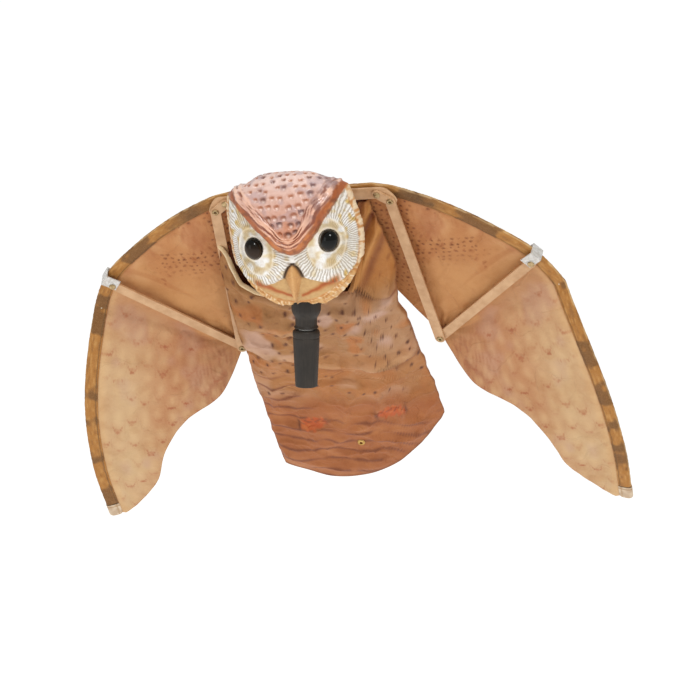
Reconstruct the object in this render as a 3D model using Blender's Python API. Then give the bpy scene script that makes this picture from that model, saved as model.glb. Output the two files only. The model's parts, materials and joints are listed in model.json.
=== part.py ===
"""Motion wing decoy: an owl head and a fabric bird body that turn and flap in the wind on top of a pole.

+Z is the pole's axis and the origin is the centre of the pole socket's open end. The owl faces -Y, so its left
wing is on +X. The carried frame hangs a few degrees off square on the pole, so everything above the neck collar
hangs from one empty, frame_axis, whose X runs along the shoulder bar. Below the bar the cloth slopes backwards:
cloth_plane and the two wing empties have X across, Y up the slope and Z forwards, out of the cloth's front.
"""

from math import cos, exp, pi, radians, sin

import bmesh
import bpy
from mathutils import Euler, Matrix, Vector

MM = 0.001
GAP = 0.3 * MM

# Pole socket and swivel
SOCKET_LENGTH = 67 * MM
SOCKET_TOP_D = 31.5 * MM
SOCKET_END_D = 25.5 * MM
SOCKET_EDGE_R = 1.5 * MM
SOCKET_BORE_D = 19 * MM
SOCKET_ROOF = 7 * MM
COLLAR_HEIGHT = 41 * MM
COLLAR_TOP_D = 34.6 * MM
COLLAR_NECK_D = 25.6 * MM
COLLAR_NECK_HEIGHT = 6 * MM
COLLAR_FLARE = 12 * MM
BOLT_D = 6 * MM
BOLT_HEAD_D = 11 * MM
BOLT_HEAD_T = 4 * MM
NUT_T = 5 * MM
SWIVEL_WASHER_D = 20 * MM
TOP_WASHER_D = 13 * MM
WASHER_T = 1.2 * MM
COLLAR_SCREW_D = 3 * MM
COLLAR_SCREW_SPREAD = 12 * MM
COLLAR_SCREW_LENGTH = 10 * MM

# How the frame sits on the pole
SHOULDER_RISE = 123 * MM
SHOULDER_SETBACK = 20 * MM
COLLAR_DIP = 15 * MM
FRAME_LEAN = radians(5.4)
CLOTH_SLOPE = radians(33.7)
WING_SWEEP = radians(6.3)

# Flat strips
BAR_WIDTH = 16.5 * MM
STRIP_T = 2.4 * MM
ARM_WIDTH = 12 * MM
FLEX_X = 80 * MM
FLEX_GAP = 3.5 * MM
RIVET_D = 4 * MM
RIVET_HEAD_D = 8 * MM
RIVET_HEAD_T = 1.6 * MM
BRACKET_WIDTH = 22 * MM
BRACKET_T = 2.5 * MM
BAR_RIVET_SPREAD = 6 * MM

# Wing: distances out from the flex line, and down the slope from the bar's centreline
WING_REACH = 236 * MM
WING_DROP = 456 * MM
INNER_RIVET = (10 * MM, 0.0)
OUTER_RIVET = (23 * MM, 11 * MM)
ELBOW = (0.122 * WING_REACH, 0.516 * WING_DROP)
WRIST = (0.703 * WING_REACH, 0.258 * WING_DROP)
TIP_CURL = 75 * MM
CURL_LENGTH = 110 * MM
CURL_EDGE = (0.826 * WING_REACH, 0.33 * WING_DROP)
CLOTH_T = 1.2 * MM
CLOTH_BACK = 7 * MM
SLEEVE_WIDTH = 15 * MM
SLEEVE_T = 8 * MM
SLEEVE_BORE_D = 5 * MM
SLEEVE_RISE = -1 * MM
SPAR_D = 4 * MM
TIP_POCKET_LENGTH = 17 * MM
CROTCH_DROP = 148 * MM
WING_ROOT = (24 * MM, 190 * MM)
CLIP_LENGTH = 15 * MM
CLIP_T = 1.5 * MM

# Body bag and tail
BAG_WALL = 1.2 * MM
BAG_TOP = 11 * MM
BAG_SHIFT = -4 * MM
BAG_TOP_HALF_WIDTH = 78 * MM
BAG_HALF_WIDTH = 88 * MM
BAG_DEPTH = 54 * MM
RIM_DROP = 62 * MM
RIM_D = 3 * MM
TAIL_HALF_WIDTH = 105 * MM
TAIL_DROP = 478 * MM
TAIL_CORNER_RISE = 62 * MM
TAIL_EDGE_T = 5 * MM
EYELET_D = 10 * MM
EYELET_HOLE_D = 5 * MM
EYELET_RISE = 64 * MM
EYELET_OFFSET = -10 * MM

# Head
HEAD_HALF_WIDTH = 75 * MM
HEAD_UP = 74 * MM
HEAD_DOWN = 79 * MM
HEAD_FRONT = 37 * MM
HEAD_BACK = 29 * MM
HEAD_CENTRE = Vector((0, -35 * MM, -40 * MM))
HEAD_WALL = 3 * MM
NECK_OPENING_D = 54 * MM
EYE_D = 26 * MM
EYE_BULGE = 9 * MM
EYE_SPREAD = 44 * MM
EYE_HEIGHT = -4 * MM
EYE_RECESS = 1.6 * MM
EYE_STEM_D = 4 * MM
EYE_STEM_PAST = 3 * MM
EYE_WASHER_D = 12 * MM
EYE_WASHER_T = 1 * MM
EYE_WASHER_CLEARANCE = 2.9 * MM
BEAK_LENGTH = 42 * MM
BEAK_WIDTH = 20 * MM
BEAK_BULGE = 11 * MM
BEAK_HEIGHT = -47 * MM
CROWN_BULGE = 6 * MM
HEAD_SCREW_D = 3 * MM
HEAD_SCREW_HEIGHTS = (-30 * MM, -62 * MM)
BOSS_D = 10 * MM

PLASTIC_TAN = (0.62, 0.40, 0.27)
CLOTH_TAN = (0.62, 0.36, 0.20)
EDGE_BROWN = (0.30, 0.16, 0.06)


def clear_scene():
    for item in list(bpy.data.objects):
        bpy.data.objects.remove(item, do_unlink=True)


def material(name, colour, roughness, metallic=0.0):
    """One Principled material, made the first time that it is asked for."""
    found = bpy.data.materials.get(name)
    if found:
        return found
    made = bpy.data.materials.new(name)
    made.use_nodes = True
    shader = made.node_tree.nodes["Principled BSDF"]
    shader.inputs["Base Color"].default_value = (*colour, 1)
    shader.inputs["Roughness"].default_value = roughness
    shader.inputs["Metallic"].default_value = metallic
    made.diffuse_color = (*colour, 1)
    return made


def empty(name, parent, location, rotation=(0, 0, 0)):
    made = bpy.data.objects.new(name, None)
    bpy.context.collection.objects.link(made)
    made.parent = parent
    made.location = location
    made.rotation_euler = rotation
    return made


def add(name, bm, look, parent=None, location=(0, 0, 0), rotation=(0, 0, 0)):
    """Turn a finished bmesh into a named object with its faces pointing out."""
    bmesh.ops.recalc_face_normals(bm, faces=bm.faces)
    mesh = bpy.data.meshes.new(name)
    bm.to_mesh(mesh)
    bm.free()
    mesh.shade_smooth()
    mesh.set_sharp_from_angle(angle=radians(35))
    mesh.materials.append(look)
    made = bpy.data.objects.new(name, mesh)
    bpy.context.collection.objects.link(made)
    made.parent = parent
    made.location = location
    made.rotation_euler = rotation
    return made


def cut(target, bm, name, parent=None, location=(0, 0, 0), rotation=(0, 0, 0), operation="DIFFERENCE"):
    """Boolean a hidden cutter, placed like any other piece, into the target."""
    cutter = add(name, bm, target.data.materials[0], parent, location, rotation)
    cutter.hide_render = True
    cutter.display_type = "WIRE"
    boolean = target.modifiers.new(name, "BOOLEAN")
    boolean.operation = operation
    boolean.object = cutter
    boolean.solver = "EXACT"


def turned(profile, segments=24):
    """Solid of revolution about Z from (radius, height) points; a zero radius is a point on the axis."""
    bm = bmesh.new()
    rings = []
    for radius, height in profile:
        if radius < 1e-9:
            rings.append([bm.verts.new((0, 0, height))])
            continue
        turns = [2 * pi * k / segments for k in range(segments)]
        rings.append([bm.verts.new((radius * cos(t), radius * sin(t), height)) for t in turns])
    bored = len(rings[0]) > 1
    pairs = list(zip(rings, rings[1:])) + ([(rings[-1], rings[0])] if bored else [])
    for low, high in pairs:
        for k in range(segments):
            after = k + 1
            corner = [low[k % len(low)], low[after % len(low)], high[after % len(high)], high[k % len(high)]]
            unique = [v for i, v in enumerate(corner) if v not in corner[:i]]
            if len(unique) > 2:
                bm.faces.new(unique)
    return bm


def cylinder(radius, low, high, segments=24):
    return turned([(0, low), (radius, low), (radius, high), (0, high)], segments)


def ring(outer, inner, low, high, segments=24):
    return turned([(outer, low), (outer, high), (inner, high), (inner, low)], segments)


def plate(outline, low, high):
    """Flat plate with an (x, y) outline between two heights."""
    bm = bmesh.new()
    bottom = [bm.verts.new((x, y, low)) for x, y in outline]
    top = [bm.verts.new((x, y, high)) for x, y in outline]
    bm.faces.new(bottom[::-1])
    bm.faces.new(top)
    for k in range(len(outline)):
        nxt = (k + 1) % len(outline)
        bm.faces.new([bottom[k], bottom[nxt], top[nxt], top[k]])
    return bm


def rounded_strip(start, end, width, steps=6):
    """Outline of a strip whose round ends are centred on its start and end."""
    start, end = Vector(start), Vector(end)
    along = (end - start).normalized()
    across = Vector((-along.y, along.x))
    radius = width / 2
    outline = []
    for centre, first in ((end, 0), (start, pi)):
        for k in range(steps + 1):
            angle = first + pi / 2 - pi * k / steps
            outline.append(tuple(centre + radius * (cos(angle) * along + sin(angle) * across)))
    return outline


def spline(points, count):
    """Points spread evenly by knot along a Catmull-Rom curve through the given points."""
    knots = [Vector(p) for p in points]
    knots = [2 * knots[0] - knots[1], *knots, 2 * knots[-1] - knots[-2]]
    spans = len(knots) - 3
    result = []
    for k in range(count):
        place = min(k * spans / (count - 1), spans - 1e-9)
        i = int(place)
        t = place - i
        a, b, c, d = knots[i:i + 4]
        result.append(0.5 * (2 * b + (c - a) * t + (2 * a - 5 * b + 4 * c - d) * t ** 2
                             + (3 * b - a - 3 * c + d) * t ** 3))
    return result


def grid_solid(near, far):
    """Closed sheet between two equal grids of points, one for each face."""
    bm = bmesh.new()
    front = [[bm.verts.new(p) for p in row] for row in near]
    back = [[bm.verts.new(p) for p in row] for row in far]
    rows, columns = len(front), len(front[0])
    for side in (front, back):
        for i in range(rows - 1):
            for j in range(columns - 1):
                bm.faces.new([side[i][j], side[i][j + 1], side[i + 1][j + 1], side[i + 1][j]])
    border = [(0, j) for j in range(columns)] + [(i, columns - 1) for i in range(1, rows)]
    border += [(rows - 1, j) for j in range(columns - 2, -1, -1)] + [(i, 0) for i in range(rows - 2, 0, -1)]
    for (i, j), (m, n) in zip(border, border[1:] + border[:1]):
        bm.faces.new([front[i][j], front[m][n], back[m][n], back[i][j]])
    return bm


def swept(path, half_width, half_depth, bore=0.0, segments=10):
    """Oval section, flat to the cloth, carried along a path; a bore makes it an open sleeve."""
    bm = bmesh.new()
    outer, inner = [], []
    for k, point in enumerate(path):
        tangent = (path[min(k + 1, len(path) - 1)] - path[max(k - 1, 0)]).normalized()
        side = tangent.cross(Vector((0, 0, 1))).normalized()
        face = side.cross(tangent)
        turns = [2 * pi * j / segments for j in range(segments)]
        oval = [point + half_width * cos(t) * side + half_depth * sin(t) * face for t in turns]
        outer.append([bm.verts.new(p) for p in oval])
        if bore:
            hole = [point + bore * (cos(t) * side + sin(t) * face) for t in turns]
            inner.append([bm.verts.new(p) for p in hole])
    for loops in (outer, inner):
        for low, high in zip(loops, loops[1:]):
            for j in range(segments):
                nxt = (j + 1) % segments
                bm.faces.new([low[j], low[nxt], high[nxt], high[j]])
    for end in (0, -1):
        if not bore:
            bm.faces.new(outer[end])
            continue
        for j in range(segments):
            nxt = (j + 1) % segments
            bm.faces.new([outer[end][j], outer[end][nxt], inner[end][nxt], inner[end][j]])
    return bm


def rivet_mesh(stack):
    """Round-headed rivet whose heads close on a stack of strips that starts at height 0."""
    head, shank = RIVET_HEAD_D / 2, RIVET_D / 2
    low, high = -GAP, stack + GAP
    crown = 0.75 * head
    profile = [(0, low - RIVET_HEAD_T), (crown, low - RIVET_HEAD_T), (head, low - RIVET_HEAD_T / 2), (head, low),
               (shank, low), (shank, high), (head, high), (head, high + RIVET_HEAD_T / 2),
               (crown, high + RIVET_HEAD_T), (0, high + RIVET_HEAD_T)]
    return turned(profile, 12)


def drill(target, parent, places, radius):
    """Round holes straight through flat strips, at places in the strips' own plane."""
    for number, (x, y) in enumerate(places, 1):
        reach = 4 * STRIP_T
        cut(target, cylinder(radius, -reach, reach, 12), f"{target.name}_hole_{number}", parent, (x, y, 0))


# ---------------------------------------------------------------- pole mount

COLLAR_LOW = SOCKET_LENGTH + WASHER_T + 2 * GAP
COLLAR_HIGH = COLLAR_LOW + COLLAR_HEIGHT
BRACKET_FOOT = COLLAR_HIGH + GAP


def pole_mount():
    """Tapered socket that drops over the pole, and the bolt that the whole bird turns on."""
    black = material("black_plastic", (0.02, 0.02, 0.02), 0.5)
    steel = material("zinc_steel", (0.6, 0.6, 0.6), 0.35, 1.0)
    nylon = material("white_nylon", (0.8, 0.8, 0.78), 0.4)
    end, top, edge = SOCKET_END_D / 2, SOCKET_TOP_D / 2, SOCKET_EDGE_R
    bore, roof = SOCKET_BORE_D / 2, SOCKET_LENGTH - SOCKET_ROOF
    bolt_hole = BOLT_D / 2 + GAP
    profile = [(bore, 0), (end - edge, 0), (end, edge), (top, SOCKET_LENGTH - 2 * edge),
               (top - edge, SOCKET_LENGTH), (bolt_hole, SOCKET_LENGTH), (bolt_hole, roof), (bore, roof)]
    add("pole_socket", turned(profile), black)
    shank, head = BOLT_D / 2, BOLT_HEAD_D / 2
    head_high = roof - GAP
    nut_low = COLLAR_HIGH + WASHER_T + 2 * GAP
    bolt_end = nut_low + NUT_T + 1.5 * MM
    profile = [(0, head_high - BOLT_HEAD_T), (head, head_high - BOLT_HEAD_T), (head, head_high),
               (shank, head_high), (shank, bolt_end), (0, bolt_end)]
    add("swivel_bolt", turned(profile, 12), steel)
    hole = BOLT_D / 2 + 0.1 * MM
    low = SOCKET_LENGTH + GAP
    add("swivel_washer", ring(SWIVEL_WASHER_D / 2, hole, low, low + WASHER_T, 24), nylon)
    low = COLLAR_HIGH + GAP
    add("top_washer", ring(TOP_WASHER_D / 2, hole, low, low + WASHER_T, 24), steel)
    flats = hole / cos(pi / 6)
    nut = turned([(head, nut_low), (head, nut_low + NUT_T), (flats, nut_low + NUT_T), (flats, nut_low)], 6)
    add("lock_nut", nut, steel)


def neck_collar():
    """Waisted collar that turns on the bolt and carries the head and the wing frame."""
    top, neck = COLLAR_TOP_D / 2, COLLAR_NECK_D / 2
    bore = BOLT_D / 2 + GAP
    waist = COLLAR_LOW + COLLAR_NECK_HEIGHT
    flare = waist + COLLAR_FLARE
    profile = [(bore, COLLAR_LOW), (neck + 1.5 * MM, COLLAR_LOW), (neck, COLLAR_LOW + 2 * MM), (neck, waist),
               (neck + (top - neck) * 0.35, waist + COLLAR_FLARE * 0.6), (top, flare), (top, COLLAR_HIGH),
               (bore, COLLAR_HIGH)]
    collar = add("neck_collar", turned(profile), material("black_plastic", (0.02, 0.02, 0.02), 0.5))
    steel = material("zinc_steel", (0.6, 0.6, 0.6), 0.35, 1.0)
    shank = COLLAR_SCREW_D / 2
    for name, side in (("left", 1), ("right", -1)):
        spot = (side * COLLAR_SCREW_SPREAD, 0, COLLAR_HIGH)
        hole = cylinder(shank + GAP, -COLLAR_SCREW_LENGTH, BRACKET_T, 12)
        cut(collar, hole, f"collar_screw_hole_{name}", None, spot)
        seat = 2 * GAP + BRACKET_T
        profile = [(0, 1 * MM - COLLAR_SCREW_LENGTH), (shank, 1 * MM - COLLAR_SCREW_LENGTH), (shank, seat),
                   (2 * shank, seat), (2 * shank, seat + 1.2 * MM), (shank, seat + 2 * MM), (0, seat + 2 * MM)]
        add(f"{name}_collar_screw", turned(profile, 12), steel, None, spot)


# ---------------------------------------------------------------- fixed frame

STRAP_Y = 1.1 * MM


def bar_bracket(frame, cloth):
    """Bent strap: a foot on the collar, an upright behind the head and a sloping pad on the shoulder bar."""
    steel = material("zinc_steel", (0.6, 0.6, 0.6), 0.35, 1.0)
    half = BRACKET_T / 2
    pad = STRIP_T + GAP + half
    pad_end = 0.5 * BAR_WIDTH
    to_yz = Matrix(((-sin(CLOTH_SLOPE), -cos(CLOTH_SLOPE)), (cos(CLOTH_SLOPE), -sin(CLOTH_SLOPE))))
    knee = to_yz @ Vector((-pad_end, pad))
    foot_end = Vector((knee.x, COLLAR_DIP - SHOULDER_RISE - BRACKET_T / 2))
    centre_line = [to_yz @ Vector((pad_end, pad)), knee, foot_end]
    above, below = [], []
    for k, point in enumerate(centre_line):
        before = centre_line[max(k - 1, 0)]
        after = centre_line[min(k + 1, len(centre_line) - 1)]
        lean = ((point - before).normalized() + (after - point).normalized()).normalized()
        across = Vector((-lean.y, lean.x))
        above.append(point + half * across)
        below.append(point - half * across)
    outline = above + below[::-1]
    strap = plate([(p.x, p.y) for p in outline], -BRACKET_WIDTH / 2, BRACKET_WIDTH / 2)
    strap.transform(Matrix(((0, 0, 1, 0), (1, 0, 0, 0), (0, 1, 0, 0), (0, 0, 0, 1))))
    bracket = add("bar_bracket", strap, steel, frame)
    foot_radius = 0.5 * COLLAR_TOP_D
    foot_back = SHOULDER_SETBACK + knee.x
    foot = plate([(-foot_radius, -foot_radius), (foot_radius, -foot_radius), (foot_radius, foot_back),
                  (-foot_radius, foot_back)], BRACKET_FOOT, BRACKET_FOOT + BRACKET_T)
    cut(bracket, foot, "bracket_foot", None, operation="UNION")
    centre_hole = cylinder(TOP_WASHER_D / 2 + 1 * MM, COLLAR_HIGH - GAP, BRACKET_FOOT + 2 * BRACKET_T, 24)
    cut(bracket, centre_hole, "bracket_centre_hole")
    for side in (1, -1):
        hole = cylinder(COLLAR_SCREW_D / 2 + GAP, -BRACKET_T, 2 * BRACKET_T, 12)
        cut(bracket, hole, f"bracket_foot_hole_{side}", None, (side * COLLAR_SCREW_SPREAD, 0, BRACKET_FOOT))
        spot = (side * BAR_RIVET_SPREAD, 0, 0)
        cut(bracket, cylinder(RIVET_D / 2 + GAP, -2 * STRIP_T, 5 * STRIP_T, 12), f"bracket_pad_hole_{side}", cloth, spot)
    for height in HEAD_SCREW_HEIGHTS:
        hole = cylinder(HEAD_SCREW_D / 2 + GAP, -8 * MM, 8 * MM, 12)
        cut(bracket, hole, f"bracket_head_hole_{height:.3f}", frame, (0, STRAP_Y, height), (pi / 2, 0, 0))


def shoulder_bar(cloth):
    """Middle of the one flat cross strip, with the two rivets that hold it to the bracket."""
    tan = material("tan_strip", PLASTIC_TAN, 0.45)
    steel = material("rivet_steel", (0.7, 0.66, 0.58), 0.3, 1.0)
    half_length, half = FLEX_X - FLEX_GAP, BAR_WIDTH / 2
    outline = [(-half_length, -half), (half_length, -half), (half_length, half), (-half_length, half)]
    bar = add("shoulder_bar", plate(outline, 0, STRIP_T), tan, cloth)
    drill(bar, cloth, [(BAR_RIVET_SPREAD, 0), (-BAR_RIVET_SPREAD, 0)], RIVET_D / 2 + GAP)
    for name, side in (("left", 1), ("right", -1)):
        add(f"{name}_bar_rivet", rivet_mesh(STRIP_T + GAP + BRACKET_T), steel, cloth, (side * BAR_RIVET_SPREAD, 0, 0))


def centre_spar_and_sleeve(cloth):
    """Stretch of the leading-edge rod and its cloth sleeve that runs behind the shoulder bar."""
    reach = FLEX_X - FLEX_GAP
    middle = sleeve_middle_at_bar()
    path = [Vector((-reach + 2 * reach * k / 8, middle, -CLOTH_BACK)) for k in range(9)]
    rod = material("fibreglass", (0.75, 0.72, 0.6), 0.4)
    edge = material("edge_cloth", EDGE_BROWN, 0.7)
    add("centre_spar", swept(path, SPAR_D / 2, SPAR_D / 2, segments=8), rod, cloth)
    add("centre_sleeve", swept(path, SLEEVE_WIDTH / 2, SLEEVE_T / 2, SLEEVE_BORE_D / 2), edge, cloth)


def sleeve_middle_at_bar():
    """Height of the sleeve's centre above the bar's centreline: its top edge runs just under the bar's."""
    return BAR_WIDTH / 2 + SLEEVE_RISE - SLEEVE_WIDTH / 2


# ---------------------------------------------------------------- head

def head_point(turn, out, front, inset=0.0):
    """Point of the head: turn goes round the face from its left side, out from its middle (0) to the rim (1)."""
    across, up = cos(turn), sin(turn)
    squareness = 2.9 if up > 0 else 2.1
    half_width = HEAD_HALF_WIDTH - inset
    half_height = (HEAD_UP if up > 0 else HEAD_DOWN) - inset
    reach = (abs(across / half_width) ** squareness + abs(up / half_height) ** squareness) ** (-1 / squareness)
    x, z = out * reach * across, out * reach * up
    if not front:
        depth = (HEAD_BACK - inset) * (1 - out ** 2.2) ** 0.5
        return HEAD_CENTRE + Vector((x, depth, z))
    depth = (HEAD_FRONT - inset) * (1 - out ** 3.2) ** 0.625
    hood = max(0.0, min(1.0, (z - 0.5 * abs(x) + 12 * MM) / (14 * MM)))
    depth += CROWN_BULGE * hood * (1 - out ** 4)
    beak_x = x / (0.5 * BEAK_WIDTH)
    beak_z = (z - BEAK_HEIGHT) / (0.5 * BEAK_LENGTH)
    depth += BEAK_BULGE * exp(-beak_x ** 2 * 1.6 - abs(beak_z) ** 3)
    return HEAD_CENTRE + Vector((x, -depth, z))


def head_surface(inset, turns=32):
    """Closed surface of the head, a polar grid round the middle of the face and of the back."""
    bm = bmesh.new()
    front_steps = [0.16, 0.32, 0.48, 0.64, 0.8, 0.92, 0.98]
    back_steps = [0.9, 0.7, 0.4]
    angles = [2 * pi * k / turns for k in range(turns)]
    rings = [[bm.verts.new(head_point(0, 0, True, inset))]]
    for out in front_steps:
        rings.append([bm.verts.new(head_point(a, out, True, inset)) for a in angles])
    rings.append([bm.verts.new(head_point(a, 1, False, inset)) for a in angles])
    for out in back_steps:
        rings.append([bm.verts.new(head_point(a, out, False, inset)) for a in angles])
    rings.append([bm.verts.new(head_point(0, 0, False, inset))])
    for low, high in zip(rings, rings[1:]):
        for k in range(turns):
            after = k + 1
            corner = [low[k % len(low)], low[after % len(low)], high[after % len(high)], high[k % len(high)]]
            bm.faces.new([v for i, v in enumerate(corner) if v not in corner[:i]])
    return bm


def head(frame):
    """Hollow moulded head, its glossy eyes on washered stems, and the two screws that hold it to the bracket."""
    bm = head_surface(0)
    bmesh.ops.recalc_face_normals(bm, faces=bm.faces)
    shell = add("head_shell", bm, material("head_plastic", (0.75, 0.5, 0.35), 0.4), frame)
    cut(shell, head_surface(HEAD_WALL, 20), "head_hollow", frame)
    strap_front = STRAP_Y - BRACKET_T / 2 - GAP
    back_inside = HEAD_CENTRE.y + HEAD_BACK - HEAD_WALL - 6 * MM
    for number, height in enumerate(HEAD_SCREW_HEIGHTS, 1):
        boss = cylinder(BOSS_D / 2, 0, strap_front - back_inside, 20)
        cut(shell, boss, f"head_boss_{number}", frame, (0, strap_front, height), (pi / 2, 0, 0), "UNION")
    neck = frame.matrix_local.inverted() @ Vector((0, 0, COLLAR_HIGH))
    opening = cylinder(NECK_OPENING_D / 2, -40 * MM, 42 * MM, 32)
    cut(shell, opening, "head_neck_opening", frame, (neck.x, neck.y - 4 * MM, -SHOULDER_RISE))
    steel = material("zinc_steel", (0.6, 0.6, 0.6), 0.35, 1.0)
    for number, height in enumerate(HEAD_SCREW_HEIGHTS, 1):
        shank = HEAD_SCREW_D / 2
        hole = cylinder(shank + GAP, -6 * MM, 8 * MM, 12)
        cut(shell, hole, f"head_screw_hole_{number}", frame, (0, strap_front, height), (pi / 2, 0, 0))
        low, high = 2 * shank, BRACKET_T + 2 * GAP
        profile = [(0, -high - 1.8 * MM), (low * 0.7, -high - 1.8 * MM), (low, -high - 1 * MM), (low, -high),
                   (shank, -high), (shank, 7 * MM), (0, 7 * MM)]
        name = ("upper", "lower")[number - 1] + "_head_screw"
        add(name, turned(profile, 12), steel, frame, (0, strap_front, height), (pi / 2, 0, 0))
    eyes(frame, shell)


def eyes(frame, shell):
    """Domed eyes: each sits in a shallow recess, its stem runs through the shell and a washer grips it inside."""
    gloss = material("eye_gloss", (0.01, 0.01, 0.01), 0.06)
    nylon = material("white_nylon", (0.8, 0.8, 0.78), 0.4)
    out = EYE_SPREAD / HEAD_HALF_WIDTH
    seat = HEAD_CENTRE.y - HEAD_FRONT * (1 - out ** 3.2) ** 0.625 + EYE_RECESS
    washer_out = (EYE_SPREAD + EYE_WASHER_D / 2) / (HEAD_HALF_WIDTH - HEAD_WALL)
    inside = HEAD_CENTRE.y - (HEAD_FRONT - HEAD_WALL) * (1 - washer_out ** 3.2) ** 0.625
    grip = seat - inside - EYE_WASHER_CLEARANCE
    stem_end = grip - EYE_WASHER_T - EYE_STEM_PAST
    for name, side in (("left", 1), ("right", -1)):
        spot = (side * EYE_SPREAD, seat, HEAD_CENTRE.z + EYE_HEIGHT)
        facing = (pi / 2, 0, 0)
        cut(shell, cylinder(EYE_D / 2 + GAP, 0, 20 * MM, 32), f"{name}_eye_recess", frame, spot, facing)
        cut(shell, cylinder(EYE_STEM_D / 2 + GAP, stem_end, 5 * MM, 16), f"{name}_eye_hole", frame, spot, facing)
        radius, stem = EYE_D / 2, EYE_STEM_D / 2
        dome = [(radius * cos(a), GAP + EYE_RECESS + EYE_BULGE * sin(a)) for a in (0, 0.3, 0.6, 0.9, 1.2)]
        profile = [(0, stem_end), (stem, stem_end), (stem, GAP), (radius, GAP), *dome,
                   (0, GAP + EYE_RECESS + EYE_BULGE)]
        add(f"{name}_eye", turned(profile, 24), gloss, frame, spot, facing)
        washer = ring(EYE_WASHER_D / 2, stem + 0.1 * MM, grip - EYE_WASHER_T, grip, 16)
        add(f"{name}_eye_washer", washer, nylon, frame, spot, facing)


# ---------------------------------------------------------------- wings

def curl(x, y):
    """How far forwards the outer wing curls, past the line from the elbow to the leading edge."""
    elbow = Vector((ELBOW[0], -ELBOW[1]))
    fold = (Vector((CURL_EDGE[0], -CURL_EDGE[1])) - elbow).normalized()
    past = (Vector((x, y)) - elbow).dot(Vector((fold.y, -fold.x)))
    past -= 6 * MM
    return TIP_CURL * (1 - exp(-past / CURL_LENGTH)) if past > 0 else 0.0


def leading_edge(count):
    """Outer edge of the wing from the flex line to the tip, in the wing's plane."""
    start = sleeve_middle_at_bar() + SLEEVE_WIDTH / 2
    w, d = WING_REACH, -WING_DROP
    return spline([(FLEX_GAP, start), (30 * MM, start - 7 * MM), (0.33 * w, 0.055 * d), (0.54 * w, 0.137 * d),
                   (0.742 * w, 0.246 * d), (0.876 * w, 0.412 * d), (0.97 * w, 0.614 * d), (w, 0.82 * d),
                   (0.979 * w, d)], count)


def trailing_edge(count):
    """Free edge of the cloth from its root beside the bag, past the elbow rivet, to the tip."""
    w, d = WING_REACH, -WING_DROP
    return spline([(WING_ROOT[0], -WING_ROOT[1]), (ELBOW[0] - 3 * MM, -ELBOW[1] + 4 * MM),
                   (ELBOW[0] + 2 * MM, -ELBOW[1] - 9 * MM), (0.265 * w, 0.639 * d), (0.46 * w, 0.699 * d),
                   (0.602 * w, 0.785 * d), (0.678 * w, 0.886 * d), (0.8 * w, 0.966 * d), (0.892 * w, 1.0 * d)], count)


def edge_inset(distance, count):
    """Leading edge moved inwards, lifted to the cloth's curled surface."""
    outer = leading_edge(count)
    path = []
    for k, point in enumerate(outer):
        tangent = (outer[min(k + 1, count - 1)] - outer[max(k - 1, 0)]).normalized()
        inward = Vector((tangent.y, -tangent.x))
        spot = point + distance * inward
        path.append(Vector((spot.x, spot.y, curl(spot.x, spot.y) - CLOTH_BACK)))
    return path


def wing_strips(wing, name, side):
    """Flat strips of one wing: the bar's end, the inner arm and the outer strut, with their rivets."""
    tan = material("tan_strip", PLASTIC_TAN, 0.45)
    steel = material("rivet_steel", (0.7, 0.66, 0.58), 0.3, 1.0)
    inner = (side * INNER_RIVET[0], -INNER_RIVET[1])
    outer = (side * OUTER_RIVET[0], -OUTER_RIVET[1])
    elbow = (side * ELBOW[0], -ELBOW[1])
    wrist = (side * WRIST[0], -WRIST[1])
    half = BAR_WIDTH / 2
    hole = RIVET_D / 2 + GAP
    low_corner = OUTER_RIVET[0] + half
    outline = [(side * FLEX_GAP, half), (side * FLEX_GAP, -half), (side * INNER_RIVET[0], -half),
               (outer[0] - side * 4 * MM, outer[1] - 6 * MM), (outer[0] + side * 4 * MM, outer[1] - 6 * MM),
               (side * low_corner, outer[1]), (side * (INNER_RIVET[0] + 8 * MM), half)]
    end = add(f"{name}_bar_end", plate(outline, 0, STRIP_T), tan, wing)
    drill(end, wing, [inner, outer], hole)
    arm = rounded_strip(outer, elbow, ARM_WIDTH)
    raised = STRIP_T + GAP
    arm_piece = add(f"{name}_inner_arm", plate(arm, raised, raised + STRIP_T), tan, wing)
    tab = rounded_strip(inner, outer, ARM_WIDTH)
    cut(arm_piece, plate(tab, raised, raised + STRIP_T), f"{name}_arm_tab", wing, operation="UNION")
    drill(arm_piece, wing, [inner, outer, elbow], hole)
    strut = rounded_strip(elbow, wrist, ARM_WIDTH)
    strut_piece = add(f"{name}_outer_strut", plate(strut, 0, STRIP_T), tan, wing)
    drill(strut_piece, wing, [elbow, wrist], hole)
    stack = 2 * STRIP_T + GAP
    places = {"inner_shoulder": (inner, stack), "outer_shoulder": (outer, stack), "elbow": (elbow, stack),
              "wrist": (wrist, STRIP_T + GAP + CLIP_T)}
    for place, (spot, height) in places.items():
        add(f"{name}_{place}_rivet", rivet_mesh(height), steel, wing, (*spot, 0))


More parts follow.
